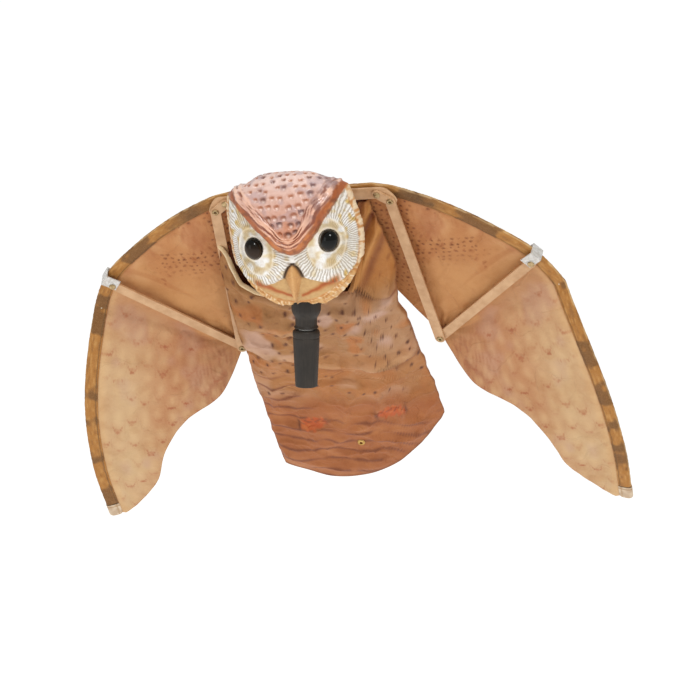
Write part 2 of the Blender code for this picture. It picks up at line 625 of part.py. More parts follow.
def wrist_clip(wing, name, side):
    """Clear clip that hooks round the sleeved spar and is riveted to the strut's end."""
    inside_high, inside_low = STRIP_T + GAP, -CLOTH_BACK - SLEEVE_T / 2 - GAP
    path = edge_inset(SLEEVE_WIDTH / 2, 60)
    wrist = Vector((WRIST[0], -WRIST[1]))
    nearest = min(range(60), key=lambda k: (path[k].xy - wrist).length)
    tangent = (path[nearest + 1].xy - path[nearest - 1].xy).normalized()
    outward = Vector((-tangent.y, tangent.x))
    centre = path[nearest].xy
    edge = SLEEVE_WIDTH / 2 + 1.2 * MM
    section = [(-edge, inside_high), (edge, inside_high), (edge, inside_low), (0, inside_low),
               (0, inside_low - CLIP_T), (edge + CLIP_T, inside_low - CLIP_T), (edge + CLIP_T, inside_high + CLIP_T),
               (-edge, inside_high + CLIP_T)]
    bm = plate(section, -CLIP_LENGTH / 2, CLIP_LENGTH / 2)
    place = Matrix.Identity(4)
    for row in range(3):
        place[row][0] = (outward.x, outward.y, 0)[row]
        place[row][1] = (0, 0, 1)[row]
        place[row][2] = (tangent.x, tangent.y, 0)[row]
        place[row][3] = (centre.x, centre.y, 0)[row]
    bm.transform(place)
    bm.transform(Matrix.Diagonal((side, 1, 1, 1)))
    clear = material("clear_plastic", (0.85, 0.85, 0.82), 0.2)
    clip = add(f"{name}_wrist_clip", bm, clear, wing)
    drill(clip, wing, [(side * WRIST[0], -WRIST[1])], RIVET_D / 2 + GAP)


def wing_edge(wing, name, side):
    """Leading edge: a springy rod in a cloth sleeve that ends in a white pocket."""
    count = 26
    path = [Vector((side * p.x, p.y, p.z)) for p in edge_inset(SLEEVE_WIDTH / 2, count)]
    last = count - 1
    while (path[last] - path[-1]).length < TIP_POCKET_LENGTH:
        last -= 1
    rod = material("fibreglass", (0.75, 0.72, 0.6), 0.4)
    edge = material("edge_cloth", EDGE_BROWN, 0.7)
    white = material("white_cloth", (0.8, 0.78, 0.72), 0.7)
    add(f"{name}_wing_spar", swept(path[:last + 1], SPAR_D / 2, SPAR_D / 2, segments=8), rod, wing)
    add(f"{name}_edge_sleeve", swept(path[:last + 1], SLEEVE_WIDTH / 2, SLEEVE_T / 2, SLEEVE_BORE_D / 2), edge, wing)
    along = (path[last + 1] - path[last]).normalized()
    pocket = [path[last] + GAP * along] + path[last + 1:]
    add(f"{name}_tip_pocket", swept(pocket, SLEEVE_WIDTH / 2, SLEEVE_T / 2), white, wing)


def wing_fabric(wing, name, side):
    """One thickness of printed cloth between the sleeve, the flex line and the free trailing edge."""
    rows, columns = 20, 6
    upper = [p.xy for p in edge_inset(SLEEVE_WIDTH + GAP, rows)]
    lower = [p.xy for p in trailing_edge(rows)]
    near, far = [], []
    for start, end in zip(lower, upper):
        line = [start.lerp(end, j / (columns - 1)) for j in range(columns)]
        height = [curl(p.x, p.y) - CLOTH_BACK for p in line]
        near.append([Vector((side * p.x, p.y, h + CLOTH_T / 2)) for p, h in zip(line, height)])
        far.append([Vector((side * p.x, p.y, h - CLOTH_T / 2)) for p, h in zip(line, height)])
    add(f"{name}_wing_fabric", grid_solid(near, far), material("wing_cloth", CLOTH_TAN, 0.7), wing)


def wing(frame, name, side):
    origin = (side * FLEX_X, 0, 0)
    axis = empty(f"{name}_wing_axis", frame, origin)
    axis.rotation_mode = "XYZ"
    axis.rotation_euler = (Matrix.Rotation(-side * WING_SWEEP, 3, "Z")
                           @ Matrix.Rotation(pi / 2 + CLOTH_SLOPE, 3, "X")).to_euler()
    wing_strips(axis, name, side)
    wrist_clip(axis, name, side)
    wing_edge(axis, name, side)
    wing_fabric(axis, name, side)


# ---------------------------------------------------------------- body bag and tail

def bag_half_width(drop):
    """Half the bag's width at a distance down the slope: it flares a little to the crotch and again to the tail."""
    if drop < CROTCH_DROP:
        return BAG_TOP_HALF_WIDTH + (BAG_HALF_WIDTH - BAG_TOP_HALF_WIDTH) * max(0.0, drop) / CROTCH_DROP
    tail_corner = TAIL_DROP - TAIL_CORNER_RISE
    share = min(1.0, (drop - CROTCH_DROP) / (tail_corner - CROTCH_DROP))
    return BAG_HALF_WIDTH + (TAIL_HALF_WIDTH - BAG_HALF_WIDTH) * share


def bag_depth(drop):
    """Distance from the back sheet to the belly at the middle of the bag."""
    if drop < CROTCH_DROP:
        return BAG_DEPTH * (0.12 + 0.88 * (max(0.0, drop) / CROTCH_DROP) ** 1.2)
    share = min(1.0, (drop - CROTCH_DROP) / (TAIL_DROP - CROTCH_DROP))
    return TAIL_EDGE_T + (BAG_DEPTH - TAIL_EDGE_T) * (1 - share) ** 1.3


def bag_loop(top, bottom, share, wall, turns):
    """One loop round the bag. top and bottom give the drop of the loop's ends at each place across."""
    loop = []
    for k in range(turns):
        turn = 2 * pi * k / turns
        across, out = cos(turn), sin(turn)
        drop = top(across, out) + share * (bottom(across, out) - top(across, out))
        half_width = bag_half_width(drop) - wall
        half_depth = 0.5 * bag_depth(drop) - wall
        height = half_depth * (1 if out > 0 else -1) * abs(out) ** 0.9
        middle = -CLOTH_BACK - CLOTH_T / 2 + 0.5 * bag_depth(drop)
        loop.append(Vector((BAG_SHIFT + half_width * across, -drop, middle + height)))
    return loop


def bag(top, bottom, rows, closed_end, turns=24):
    """Thin-walled bag between two edges, open at its top and sewn shut or open at its bottom."""
    bm = bmesh.new()
    skins = []
    for wall in (0.0, BAG_WALL):
        last = 1.0 if wall == 0 or not closed_end else 0.96
        loops = [bag_loop(top, bottom, last * k / rows, wall, turns) for k in range(rows + 1)]
        skins.append([[bm.verts.new(p) for p in loop] for loop in loops])
    for loops in skins:
        for low, high in zip(loops, loops[1:]):
            for k in range(turns):
                nxt = (k + 1) % turns
                bm.faces.new([low[k], low[nxt], high[nxt], high[k]])
        if closed_end:
            seam = loops[-1]
            bm.faces.new([seam[0], seam[1], seam[-1]])
            for k in range(1, turns // 2 - 1):
                bm.faces.new([seam[k], seam[k + 1], seam[-k - 1], seam[-k]])
            middle = turns // 2
            bm.faces.new([seam[middle - 1], seam[middle], seam[middle + 1]])
    for row in (0,) if closed_end else (0, -1):
        for k in range(turns):
            nxt = (k + 1) % turns
            bm.faces.new([skins[0][row][k], skins[0][row][nxt], skins[1][row][nxt], skins[1][row][k]])
    return bm


def neck_edge(across, out):
    """Top edge of the bag: high at the back and the sides, dipping in front of the neck."""
    return BAG_TOP + (RIM_DROP - BAG_TOP) * max(0.0, out) ** 1.5


def body_bag(cloth):
    """Cloth bag behind the neck: belly in front, back sheet behind, open round the neck with a bound rim."""
    crotch = CROTCH_DROP - GAP
    bm = bag(neck_edge, lambda across, out: crotch, 5, False)
    add("body_bag", bm, material("belly_cloth", CLOTH_TAN, 0.65), cloth)
    turns = 24
    front = bag_loop(neck_edge, lambda across, out: crotch, 0.0, BAG_WALL / 2, turns)[1:turns // 2]
    path = []
    for k, point in enumerate(front):
        along = (front[min(k + 1, len(front) - 1)] - front[max(k - 1, 0)]).normalized()
        upward = (Vector((0, 1, 0)) - along.y * along).normalized()
        path.append(point + (RIM_D / 2 + GAP) * 1.1 * upward)
    add("neck_rim", swept(path, RIM_D / 2, RIM_D / 2, segments=8), material("white_cloth", (0.8, 0.78, 0.72), 0.7), cloth)


def tail_hem(across, out):
    """Drop of the tail's round lower hem at a place across the tail."""
    return TAIL_DROP - TAIL_CORNER_RISE * abs(across) ** 2.4


def tail(cloth):
    """Lower bag, free to lift in the wind about the crotch line, with its brass eyelet."""
    axis = empty("tail_axis", cloth, (0, -CROTCH_DROP, -CLOTH_BACK))
    bm = bag(lambda across, out: CROTCH_DROP + GAP, tail_hem, 7, True)
    bm.transform(Matrix.Translation((0, CROTCH_DROP, CLOTH_BACK)))
    piece = add("tail_fabric", bm, material("belly_cloth", CLOTH_TAN, 0.65), axis)
    drop = TAIL_DROP - EYELET_RISE
    depth = bag_depth(drop)
    spot = (EYELET_OFFSET, CROTCH_DROP - drop, -CLOTH_T / 2)
    cut(piece, cylinder(EYELET_HOLE_D / 2 + 2 * GAP, -5 * MM, depth + 5 * MM, 20), "eyelet_cut", axis, spot)
    brass = material("brass", (0.75, 0.55, 0.2), 0.3, 1.0)
    flange, hole, wall = EYELET_D / 2, EYELET_HOLE_D / 2 - 0.6 * MM, EYELET_HOLE_D / 2
    face = depth + 1.2 * MM
    profile = [(hole, -3 * MM), (wall, -3 * MM), (wall, face), (flange, face), (flange - 1 * MM, face + 1 * MM),
               (hole, face + 1 * MM)]
    add("tail_eyelet", turned(profile, 24), brass, axis, spot)
    add("eyelet_washer", ring(flange, wall + 0.1 * MM, -2.4 * MM, -1.2 * MM, 24), brass, axis, spot)


def build():
    clear_scene()
    pole_mount()
    neck_collar()
    lean = Euler((0, -FRAME_LEAN, 0))
    hang = lean.to_matrix() @ Vector((0, -SHOULDER_SETBACK, -SHOULDER_RISE + COLLAR_DIP))
    frame = empty("frame_axis", None, Vector((0, 0, COLLAR_HIGH)) - hang, lean)
    cloth = empty("cloth_plane", frame, (0, 0, 0), (pi / 2 + CLOTH_SLOPE, 0, 0))
    bpy.context.view_layer.update()
    bar_bracket(frame, cloth)
    shoulder_bar(cloth)
    centre_spar_and_sleeve(cloth)
    head(frame)
    body_bag(cloth)
    tail(cloth)
    for name, side in (("left", 1), ("right", -1)):
        wing(frame, name, side)


build()
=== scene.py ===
"""Motion wing decoy: a moulded owl head and a printed cloth bird that turn on a pole socket.

The bird is put together in the order below: socket, collar and bracket, flat strips, head, eyes, wing cloth,
leading-edge bands with their rods, body bag, neck binding, rivets, and the studio. Lengths inside a section are in
millimetres in that piece's own plane and become metres in the shared frame when the mesh is made.
"""

import json
from contextlib import contextmanager
from math import cos, pi, radians, sin

import bmesh
import bpy
import numpy as np
from mathutils import Euler, Matrix, Vector


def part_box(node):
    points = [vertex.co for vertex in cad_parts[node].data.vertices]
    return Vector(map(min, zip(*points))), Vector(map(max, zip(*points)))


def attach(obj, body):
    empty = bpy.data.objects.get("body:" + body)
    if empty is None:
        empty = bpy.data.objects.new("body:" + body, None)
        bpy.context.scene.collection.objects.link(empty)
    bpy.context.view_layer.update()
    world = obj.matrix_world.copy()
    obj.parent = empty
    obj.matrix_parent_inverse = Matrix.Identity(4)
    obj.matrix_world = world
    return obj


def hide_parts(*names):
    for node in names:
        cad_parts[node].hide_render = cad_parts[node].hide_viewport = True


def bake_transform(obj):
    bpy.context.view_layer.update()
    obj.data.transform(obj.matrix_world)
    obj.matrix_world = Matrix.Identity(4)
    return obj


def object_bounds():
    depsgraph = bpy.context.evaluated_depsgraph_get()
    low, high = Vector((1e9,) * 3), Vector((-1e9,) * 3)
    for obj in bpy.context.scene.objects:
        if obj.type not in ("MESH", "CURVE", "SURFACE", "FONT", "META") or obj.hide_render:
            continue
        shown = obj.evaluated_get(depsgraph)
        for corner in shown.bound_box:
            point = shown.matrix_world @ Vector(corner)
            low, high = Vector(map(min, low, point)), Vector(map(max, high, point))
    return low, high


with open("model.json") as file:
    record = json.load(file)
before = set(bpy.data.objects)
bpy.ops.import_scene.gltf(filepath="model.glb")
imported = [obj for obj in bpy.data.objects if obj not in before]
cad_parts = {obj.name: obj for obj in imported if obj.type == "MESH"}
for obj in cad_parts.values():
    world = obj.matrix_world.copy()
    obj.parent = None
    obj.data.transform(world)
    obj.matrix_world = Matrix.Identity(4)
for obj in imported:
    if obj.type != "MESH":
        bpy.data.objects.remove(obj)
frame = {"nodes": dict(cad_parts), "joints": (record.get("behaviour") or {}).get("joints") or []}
cad_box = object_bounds()
nodes = frame["nodes"]

# ---------------------------------------------------------------- pole socket
# Tapered socket that drops over the pole. Injection-moulded black plastic with a fine texture, turned square at
# its open end, with a parting groove below its rounded shoulder and faint draw marks down its side.


class Wire:
    """One socket of a finish's node tree. Sums and products on it add Math nodes; make() adds any other node."""

    def __init__(self, tree, socket=None):
        self.tree, self.socket = tree, socket

    def make(self, kind, settings=None, values=None, out=0):
        node = self.tree.nodes.new("ShaderNode" + kind)
        for key, value in (settings or {}).items():
            setattr(node, key, value)
        for key, value in (values or {}).items():
            if isinstance(value, Wire):
                self.tree.links.new(value.socket, node.inputs[key])
            else:
                node.inputs[key].default_value = value
        return Wire(self.tree, node.outputs[out])

    def math(self, operation, *values):
        return self.make("Math", {"operation": operation}, dict(enumerate(values)))

    def __add__(self, other):
        return self.math("ADD", self, other)

    __radd__ = __add__

    def __mul__(self, other):
        return self.math("MULTIPLY", self, other)

    __rmul__ = __mul__

    def __sub__(self, other):
        return self.math("SUBTRACT", self, other)

    def __rsub__(self, other):
        return self.math("SUBTRACT", other, self)

    def rise(self, low, high):
        """0 below low, 1 above high, smooth between."""
        return self.make("MapRange", {"interpolation_type": "SMOOTHSTEP"}, {0: self, 1: low, 2: high})

    def blend(self, first, second):
        """Colour that goes from first to second as this value goes from 0 to 1."""
        return self.make("Mix", {"data_type": "RGBA"}, {0: self, 6: first, 7: second}, 2)

    def noise(self, scale, detail=3.0, rough=0.55):
        return self.make("TexNoise", {},
            {"Vector": self, "Scale": scale, "Detail": detail, "Roughness": rough})


def tone(red, green, blue):
    """Display colour, 0 to 255, as the linear colour with alpha that a shader takes."""
    linear = [((c / 255 + 0.055) / 1.055) ** 2.4 if c > 10 else c / 3294 for c in (red, green, blue)]
    return (*linear, 1.0)


def finish(name, constants, build):
    """Material whose constant sockets are set here; build(wire, shader) links what varies over the surface."""
    made = bpy.data.materials.new(name)
    made.use_nodes = True
    tree = made.node_tree
    shader = tree.nodes["Principled BSDF"]
    for key, value in constants.items():
        shader.inputs[key].default_value = value
    for key, value in build(Wire(tree)).items():
        tree.links.new(value.socket, shader.inputs[key])
    return made


def object_place(wire):
    return wire.make("TexCoord", out=3)


def raised(wire, height, depth, strength=1.0, under=None):
    """Normal from a height, depth metres at height 1."""
    values = {"Height": height, "Distance": depth, "Strength": strength}
    if under is not None:
        values["Normal"] = under
    return wire.make("Bump", {}, values)


def moulded_black(wire):
    place = object_place(wire)
    cloudy = place.noise(60, 4)
    draw = wire.make("Mapping", {}, {"Vector": place, "Scale": (700, 700, 20)}).noise(1.0, 2)
    pebble = place.noise(1400, 2)
    base = (cloudy * 0.6 + draw * 0.4).rise(0.35, 0.75).blend(tone(40, 35, 30), tone(58, 51, 44))
    return {"Base Color": base, "Roughness": 0.42 + 0.2 * cloudy,
            "Normal": raised(wire, pebble * 0.6 + draw * 0.7, 0.00016)}


black = finish("moulded_black", {"Specular IOR Level": 0.3}, moulded_black)


def grid_mesh(name, points, wrap=False, scale=0.001):
    """Mesh of quads over a rows by columns array of points; wrap joins the last column to the first."""
    rows, columns = points.shape[:2]
    index = np.arange(rows * columns).reshape(rows, columns)
    near = index if wrap else index[:, :-1]
    far = np.roll(index, -1, axis=1) if wrap else index[:, 1:]
    quads = np.stack([near[:-1], far[:-1], far[1:], near[1:]], -1).reshape(-1, 4)
    mesh = bpy.data.meshes.new(name)
    mesh.from_pydata((points.reshape(-1, 3) * scale).tolist(), [], quads.tolist())
    return mesh


def paint_mesh(mesh, paint=None, **values):
    """Vertex attributes: paint is a display colour per vertex, the others one number each."""
    if paint is not None:
        share = np.clip(paint.reshape(-1, 3) / 255.0, 0, 1)
        linear = np.where(share > 0.04045, ((share + 0.055) / 1.055) ** 2.4, share / 12.92)
        rgba = np.concatenate([linear, np.ones((len(linear), 1))], 1)
        mesh.attributes.new("paint", "FLOAT_COLOR", "POINT").data.foreach_set("color", rgba.ravel())
    for key, value in values.items():
        flat = np.ascontiguousarray(value, dtype=float).ravel()
        mesh.attributes.new(key, "FLOAT", "POINT").data.foreach_set("value", flat)


@contextmanager
def edited(mesh):
    """A mesh open for editing, written back at the end."""
    bm = bmesh.new()
    bm.from_mesh(mesh)
    bm.verts.ensure_lookup_table()
    yield bm
    bm.to_mesh(mesh)
    bm.free()


def turn_faces_out(mesh):
    with edited(mesh) as bm:
        bmesh.ops.recalc_face_normals(bm, faces=bm.faces)


def placed(name, data):
    """New object in the scene."""
    made = bpy.data.objects.new(name, data)
    bpy.context.scene.collection.objects.link(made)
    return made


def add_piece(mesh, look, body=None, wall=0.0, outward=True):
    """Link a finished mesh as a piece; wall gives it a thickness, outward turns its faces out."""
    piece = placed(mesh.name, mesh)
    mesh.materials.append(look)
    if wall:
        solid = piece.modifiers.new("wall", "SOLIDIFY")
        solid.thickness, solid.offset = wall, 0.0
        set_by_modifiers(piece)
    if outward:
        turn_faces_out(piece.data)
    piece.data.shade_smooth()
    if body:
        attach(piece, body)
    return piece


def set_by_modifiers(piece):
    """Make a piece's modifiers part of its mesh."""
    graph = bpy.context.evaluated_depsgraph_get()
    mesh = bpy.data.meshes.new_from_object(piece.evaluated_get(graph))
    mesh.name = piece.name
    piece.modifiers.clear()
    piece.data = mesh


def turned_mesh(name, profile, place=Matrix.Identity(4), segments=72):
    """Turned piece from (radius, height) points in millimetres, closed on its axis or round its bore."""
    turn = np.linspace(0, 2 * pi, segments, endpoint=False)
    if profile[0][0] > 0:
        profile = [*profile, profile[0]]
    radius = np.array([max(r, 1e-4) for r, _ in profile])[:, None]
    height = np.array([h for _, h in profile])[:, None] + 0 * turn
    mesh = grid_mesh(name, np.stack([radius * np.cos(turn), radius * np.sin(turn), height], -1), True)
    with edited(mesh) as bm:
        bmesh.ops.remove_doubles(bm, verts=bm.verts, dist=1e-6)
    mesh.transform(place)
    return mesh


def rounded(corners, radius, steps=5):
    """Profile with its inner corners rounded; the first and last points stay."""
    done = [corners[0]]
    for before, here, after in zip(corners, corners[1:], corners[2:]):
        a, b, c = Vector(before), Vector(here), Vector(after)
        size = min(radius, 0.45 * (a - b).length, 0.45 * (c - b).length)
        start, end = b + size * (a - b).normalized(), b + size * (c - b).normalized()
        done += [tuple((1 - t) ** 2 * start + 2 * t * (1 - t) * b + t * t * end) for t in np.linspace(0, 1,
            steps)]
    return done + [corners[-1]]


socket_low, socket_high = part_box("pole_socket")
socket_length = 1000 * (socket_high[2] - socket_low[2])
wide = 500 * (socket_high[0] - socket_low[0])
bore, end, roof, bolt_hole = 9.5, 12.75, 60.0, 3.3
taper = (wide - end) / (socket_length - 4)
groove = socket_length - 9
socket_profile = rounded(
    [(bore, 0.8), (bore + 0.8, 0), (end - 0.2, 0), (end + 0.1, 1.0), (end + taper * (groove - 1), groove - 1),
     (end + taper * groove - 0.7, groove), (end + taper * (groove + 1), groove + 1), (wide, socket_length
         - 3.5),
     (wide - 0.6, socket_length - 1.6), (wide - 2.4, socket_length), (bolt_hole, socket_length), (bolt_hole,
         roof),
     (bore, roof)], 0.9)
socket = add_piece(turned_mesh("socket_body", socket_profile), black, "pole_mount")
sharp_edge = radians(50)
socket.data.set_sharp_from_angle(angle=sharp_edge)
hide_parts("pole_socket")

# ---------------------------------------------------------------- collar, bracket and screws
# The waisted collar turns on the pole bolt. Black plastic like the socket, with a small sink mark near its top;
# a zinc-plated strap, screwed down on it, carries the head and the shoulder bar.

collar_low, collar_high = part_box("neck_collar")
top = 500 * (collar_high[0] - collar_low[0])
foot, head = 1000 * collar_low[2], 1000 * collar_high[2]
waist = 12.6
collar_profile = rounded(
    [(bolt_hole, foot), (waist + 1.4, foot), (waist + 1.5, foot + 1.2), (waist, foot + 3),
        (waist, foot + 7.5),
     (waist, foot + 12.0), (top - 1.6, foot + 17), (top - 0.3, foot + 21), (top, head - 5.5), (top - 0.5, head
         - 5),
     (top - 0.5, head - 4), (top, head - 3.5), (top, head - 0.8), (top - 0.8, head), (bolt_hole, head)], 3.0)
collar = add_piece(turned_mesh("collar_body", collar_profile), black, "frame")
collar.data.set_sharp_from_angle(angle=sharp_edge)
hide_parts("neck_collar")


def plated(light, dark, wear):
    """Metal with cloudy plating and fine scratches."""
    def build(wire):
        place = object_place(wire)
        cloud = place.noise(220, 4)
        scratch = wire.make("Mapping", {}, {"Vector": place, "Rotation": (0.4, 0.7, 0.3),
                                            "Scale": (3000, 120, 3000)}).noise(1.0, 2)
        return {"Base Color": (cloud * 0.7 + scratch * 0.3).rise(0.35, 0.7).blend(dark, light),
                "Roughness": wear + 0.25 * cloud, "Normal": raised(wire, scratch, 0.00004)}
    return build


def even_plastic(light, dark, low, high):
    """Moulded plastic with a slight mottle and a satin grain."""
    def build(wire):
        place = object_place(wire)
        mottle = place.noise(90, 3)
        grain = place.noise(1800, 2)
        return {"Base Color": mottle.rise(0.35, 0.65).blend(dark, light), "Roughness": mottle * (high - low)
            + low,
                "Normal": raised(wire, grain, 0.00005)}
    return build


zinc = finish("zinc_plate", {"Metallic": 1.0}, plated(tone(205, 205, 208), tone(150, 150, 156), 0.25))
nylon = finish("nylon_white", {}, even_plastic(tone(232, 230, 224), tone(214, 211, 203), 0.3, 0.45))


def refinish(look, *names):
    """Give CAD pieces whose shape is right their real finish."""
    for name in names:
        mesh = nodes[name].data
        mesh.materials.clear()
        mesh.materials.append(look)


refinish(zinc, "swivel_bolt", "top_washer", "lock_nut", "left_collar_screw", "right_collar_screw",
    "bar_bracket",
         "upper_head_screw", "lower_head_screw")
refinish(nylon, "swivel_washer", "left_eye_washer", "right_eye_washer")

# ---------------------------------------------------------------- shoulder bar, arms and struts
# Flat tan plastic strips. The shoulder bar is one strip that flexes where the wings begin, so each half is one
# piece that bends there; the arms and struts are riveted to its ends.

flex, lean, slope, sweep = 80.0, radians(5.4), radians(33.7), radians(6.3)
hinge = {joint["name"]: Vector(joint["pos_m"]) for joint in frame["joints"]}
middle = (hinge["left_wing_flap"] + hinge["right_wing_flap"]) / 2
frame_turn = Euler((0, -lean, 0)).to_matrix()
cloth_turn = frame_turn @ Matrix.Rotation(pi / 2 + slope, 3, "X")
SIDES = {"left": 1, "right": -1}
wing_turn = {name: frame_turn @ Matrix.Rotation(-side * sweep, 3, "Z") @ Matrix.Rotation(pi / 2 + slope, 3,
    "X")
             for name, side in SIDES.items()}


def set_in(points, turn, origin):
    """Points in a plane of the bird's own, in millimetres, as points of the shared frame, in millimetres."""
    return points @ np.array(turn).T + 1000 * np.array(origin)


def in_cloth(points):
    return set_in(points, cloth_turn, middle)


def in_wing(points, name):
    """Wing points with x outwards, for either side."""
    flipped = points * np.array([SIDES[name], 1, 1])
    return set_in(flipped, wing_turn[name], hinge[f"{name}_wing_flap"])


def bend_at_flap(piece):
    """Bake a piece's placement into its mesh; where a piece bends at the flex line, the bend is already in its points.
    """
    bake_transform(piece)


def strip_tan(wire):
    place = object_place(wire)
    mottle = place.noise(70, 4)
    grain = place.noise(900, 2)
    scuff = place.noise(260, 5, 0.7).rise(0.56, 0.72)
    base = mottle.rise(0.3, 0.7).blend(tone(186, 142, 100), tone(205, 164, 122))
    return {"Base Color": (scuff * 0.25).blend(base, tone(222, 190, 155)), "Roughness": 0.36 + 0.16 * mottle,
            "Normal": raised(wire, grain * 0.5 + mottle * 0.5, 0.00012)}


tan_strip = finish("strip_plastic", {"Specular IOR Level": 0.4}, strip_tan)
bar_half, strip = 8.25, 2.4
for name, side in SIDES.items():
    bm = bmesh.new()
    straight = [-flex, -9, -6, -4, -2, 0, 2, 4, 6, 9]
    lower = [bm.verts.new((x, -bar_half, 0)) for x in straight]
    upper = [bm.verts.new((x, bar_half, 0)) for x in straight]
    for k in range(len(straight) - 1):
        bm.faces.new([lower[k], lower[k + 1], upper[k + 1], upper[k]])
    corner = [(13, -9.0), (16, -13), (17.5, -16.5), (20, -18), (23, -18.6), (26.4, -17.9), (29, -15.6),
        (30.6, -12.5),
              (30.4, -9.0), (28, -3.5), (24.5, 2.4), (21, 6.2), (16.5, 8.1)]
    bm.faces.new([lower[-1], *[bm.verts.new((x, y, 0)) for x, y in corner], upper[-1]])
    bm.transform(Matrix.Translation((0, 0, strip / 2)))
    mesh = bpy.data.meshes.new(f"{name}_shoulder_bar")
    bm.to_mesh(mesh)
    bm.free()
    flat = np.array([v.co for v in mesh.vertices])
    inner = in_cloth((flat + [flex, 0, 0]) * [side, 1, 1])
    outer = in_wing(flat, name)
    share = np.clip((flat[:, :1] + 3) / 6, 0, 1)
    mesh.vertices.foreach_set("co", (0.001 * (inner * (1 - share) + outer * share)).ravel())
    bar = add_piece(mesh, tan_strip, wall=0.001 * strip)
    edge = bar.modifiers.new("edge", "BEVEL")
    edge.width, edge.segments, edge.limit_method, edge.angle_limit = 0.0006, 3, "ANGLE", sharp_edge
    set_by_modifiers(bar)
    bar.data.shade_smooth()
    bar.data.set_sharp_from_angle(angle=sharp_edge)
    bend_at_flap(bar)
    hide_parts(f"{name}_bar_end", *(["shoulder_bar"] if side > 0 else []))
    refinish(tan_strip, f"{name}_inner_arm", f"{name}_outer_strut")

# ---------------------------------------------------------------- head
# Hollow moulded owl head, sprayed by hand: a glossy dimpled copper crown that overhangs two carved white discs, a
# raised ring round each eye, a hooked beak on flat tan chin plates, and a roped rim. A hole underneath clears the neck.


def noise(x, y, seed):
    """Smooth value noise from -1 to 1, one cell per unit."""
    column, row = np.floor(x), np.floor(y)
    fx, fy = x - column, y - row
    fx, fy = fx * fx * (3 - 2 * fx), fy * fy * (3 - 2 * fy)

    def corner(dx, dy):
        spin = np.sin((column + dx) * 127.1 + (row + dy) * 311.7 + seed * 74.7) * 43758.5453
        return 2 * (spin - np.floor(spin)) - 1

    low = corner(0, 0) * (1 - fx) + corner(1, 0) * fx
    high = corner(0, 1) * (1 - fx) + corner(1, 1) * fx
    return low * (1 - fy) + high * fy


def step(value, low, high):
    """0 below low, 1 above high, smooth between; low may be the larger."""
    share = np.clip((value - low) / (high - low), 0, 1)
    return share * share * (3 - 2 * share)


def bell(value, width):
    return np.exp(-(value / width) ** 2)


def base_coat(colour, shape):
    return np.full((*shape, 3), colour, float)


def coat(paint, colour, share):
    """Lay a display colour over the paint by a share from 0 to 1."""
    share = np.clip(share, 0, 1)[..., None]
    return paint * (1 - share) + np.array(colour, float) * share


half_width, half_up, half_down, deep, deep_back = 75.0, 74.0, 82.5, 37.0, 29.0
head_centre = np.array([0, -35.0, -40.0])
turns, front_rings, back_rings = 320, 118, 26
turn = np.linspace(0, 2 * pi, turns, endpoint=False)[None, :]
out = np.concatenate([1 - (1 - np.linspace(0, 1, front_rings + 1)) ** 1.45,
    np.linspace(1, 0, back_rings + 1)[1:]])
out = np.clip(out, 0.001, 1)[:, None]
is_back = (np.arange(len(out)) > front_rings)[:, None]
up_turn, across_turn = np.sin(turn), np.cos(turn)
square = np.where(up_turn > 0, 2.9, 2.1)
tall = np.where(up_turn > 0, half_up, half_down)
reach = (np.abs(across_turn / half_width) ** square + np.abs(up_turn / tall) ** square) ** (-1 / square)
tuft = bell(np.abs(across_turn) - 0.76, 0.10) * step(up_turn, 0.1, 0.4) * (1 + 0.35 * across_turn)
notch = bell(np.abs(across_turn) - 0.56, 0.12) * step(up_turn, 0.1, 0.4) * (1 - 0.6 * across_turn)
reach = reach * (1 + (0.055 * tuft - 0.030 * notch) * out ** 3)
hx, hz = out * reach * across_turn, out * reach * up_turn
ax = np.abs(hx)

brow_low, brow_start, brow_steep, brow_round = -16, 11, 1.2, 4
brow_run = (ax - brow_start) / brow_round
brow = brow_low + brow_steep * brow_round * np.log1p(np.exp(np.clip(brow_run, -30, 30)))
brow_slope = brow_steep / (1 + np.exp(-brow_run))
above = (hz - brow) / np.sqrt(1 + brow_slope ** 2)
above = above + 0.9 * noise(hx / 7, hz / 7, 3) + 1.2 * noise(hx / 15, hz / 18, 4)
face_roll, eye_across, eye_drop = 0.05, 44.0, 4
eye_x, eye_z = ax - eye_across, hz + eye_drop - face_roll * hx
eye_far = np.hypot(eye_x / 0.90, eye_z) + 0.6
tilt_x, tilt_z = eye_x - 0.10 * eye_z + 3, eye_z + 3
ring_far = np.hypot(tilt_x / 20.5, tilt_z / 27.5)
plate_top = -52 + 12 * np.clip((44 - ax) / 36, 0, 1) ** 1.5 + 34 * np.clip((ax - 46) / 30, 0, 1) ** 1.6
plate_in = plate_top - hz + 0.8 * noise(hx / 5, hz / 5, 5)
rim_in = (1 - out) * reach
beak_low, beak_high, beak_half, beak_x = -75.0, -27.0, 9.6, np.abs(hx - 0.04 * (hz + 27))
beak_run = np.clip((beak_high - hz) / (beak_high - beak_low), 0, 1)
beak_side = beak_half * np.minimum(np.sqrt(np.clip(beak_run / 0.28, 0, 1)),
    np.clip((1 - beak_run) / 0.66, 0, 1)) + 0.2
in_beak = (hz < beak_high) & (hz > beak_low)
beak_share = np.where(in_beak, np.clip(1 - beak_x / beak_side, 0, 1), 0)

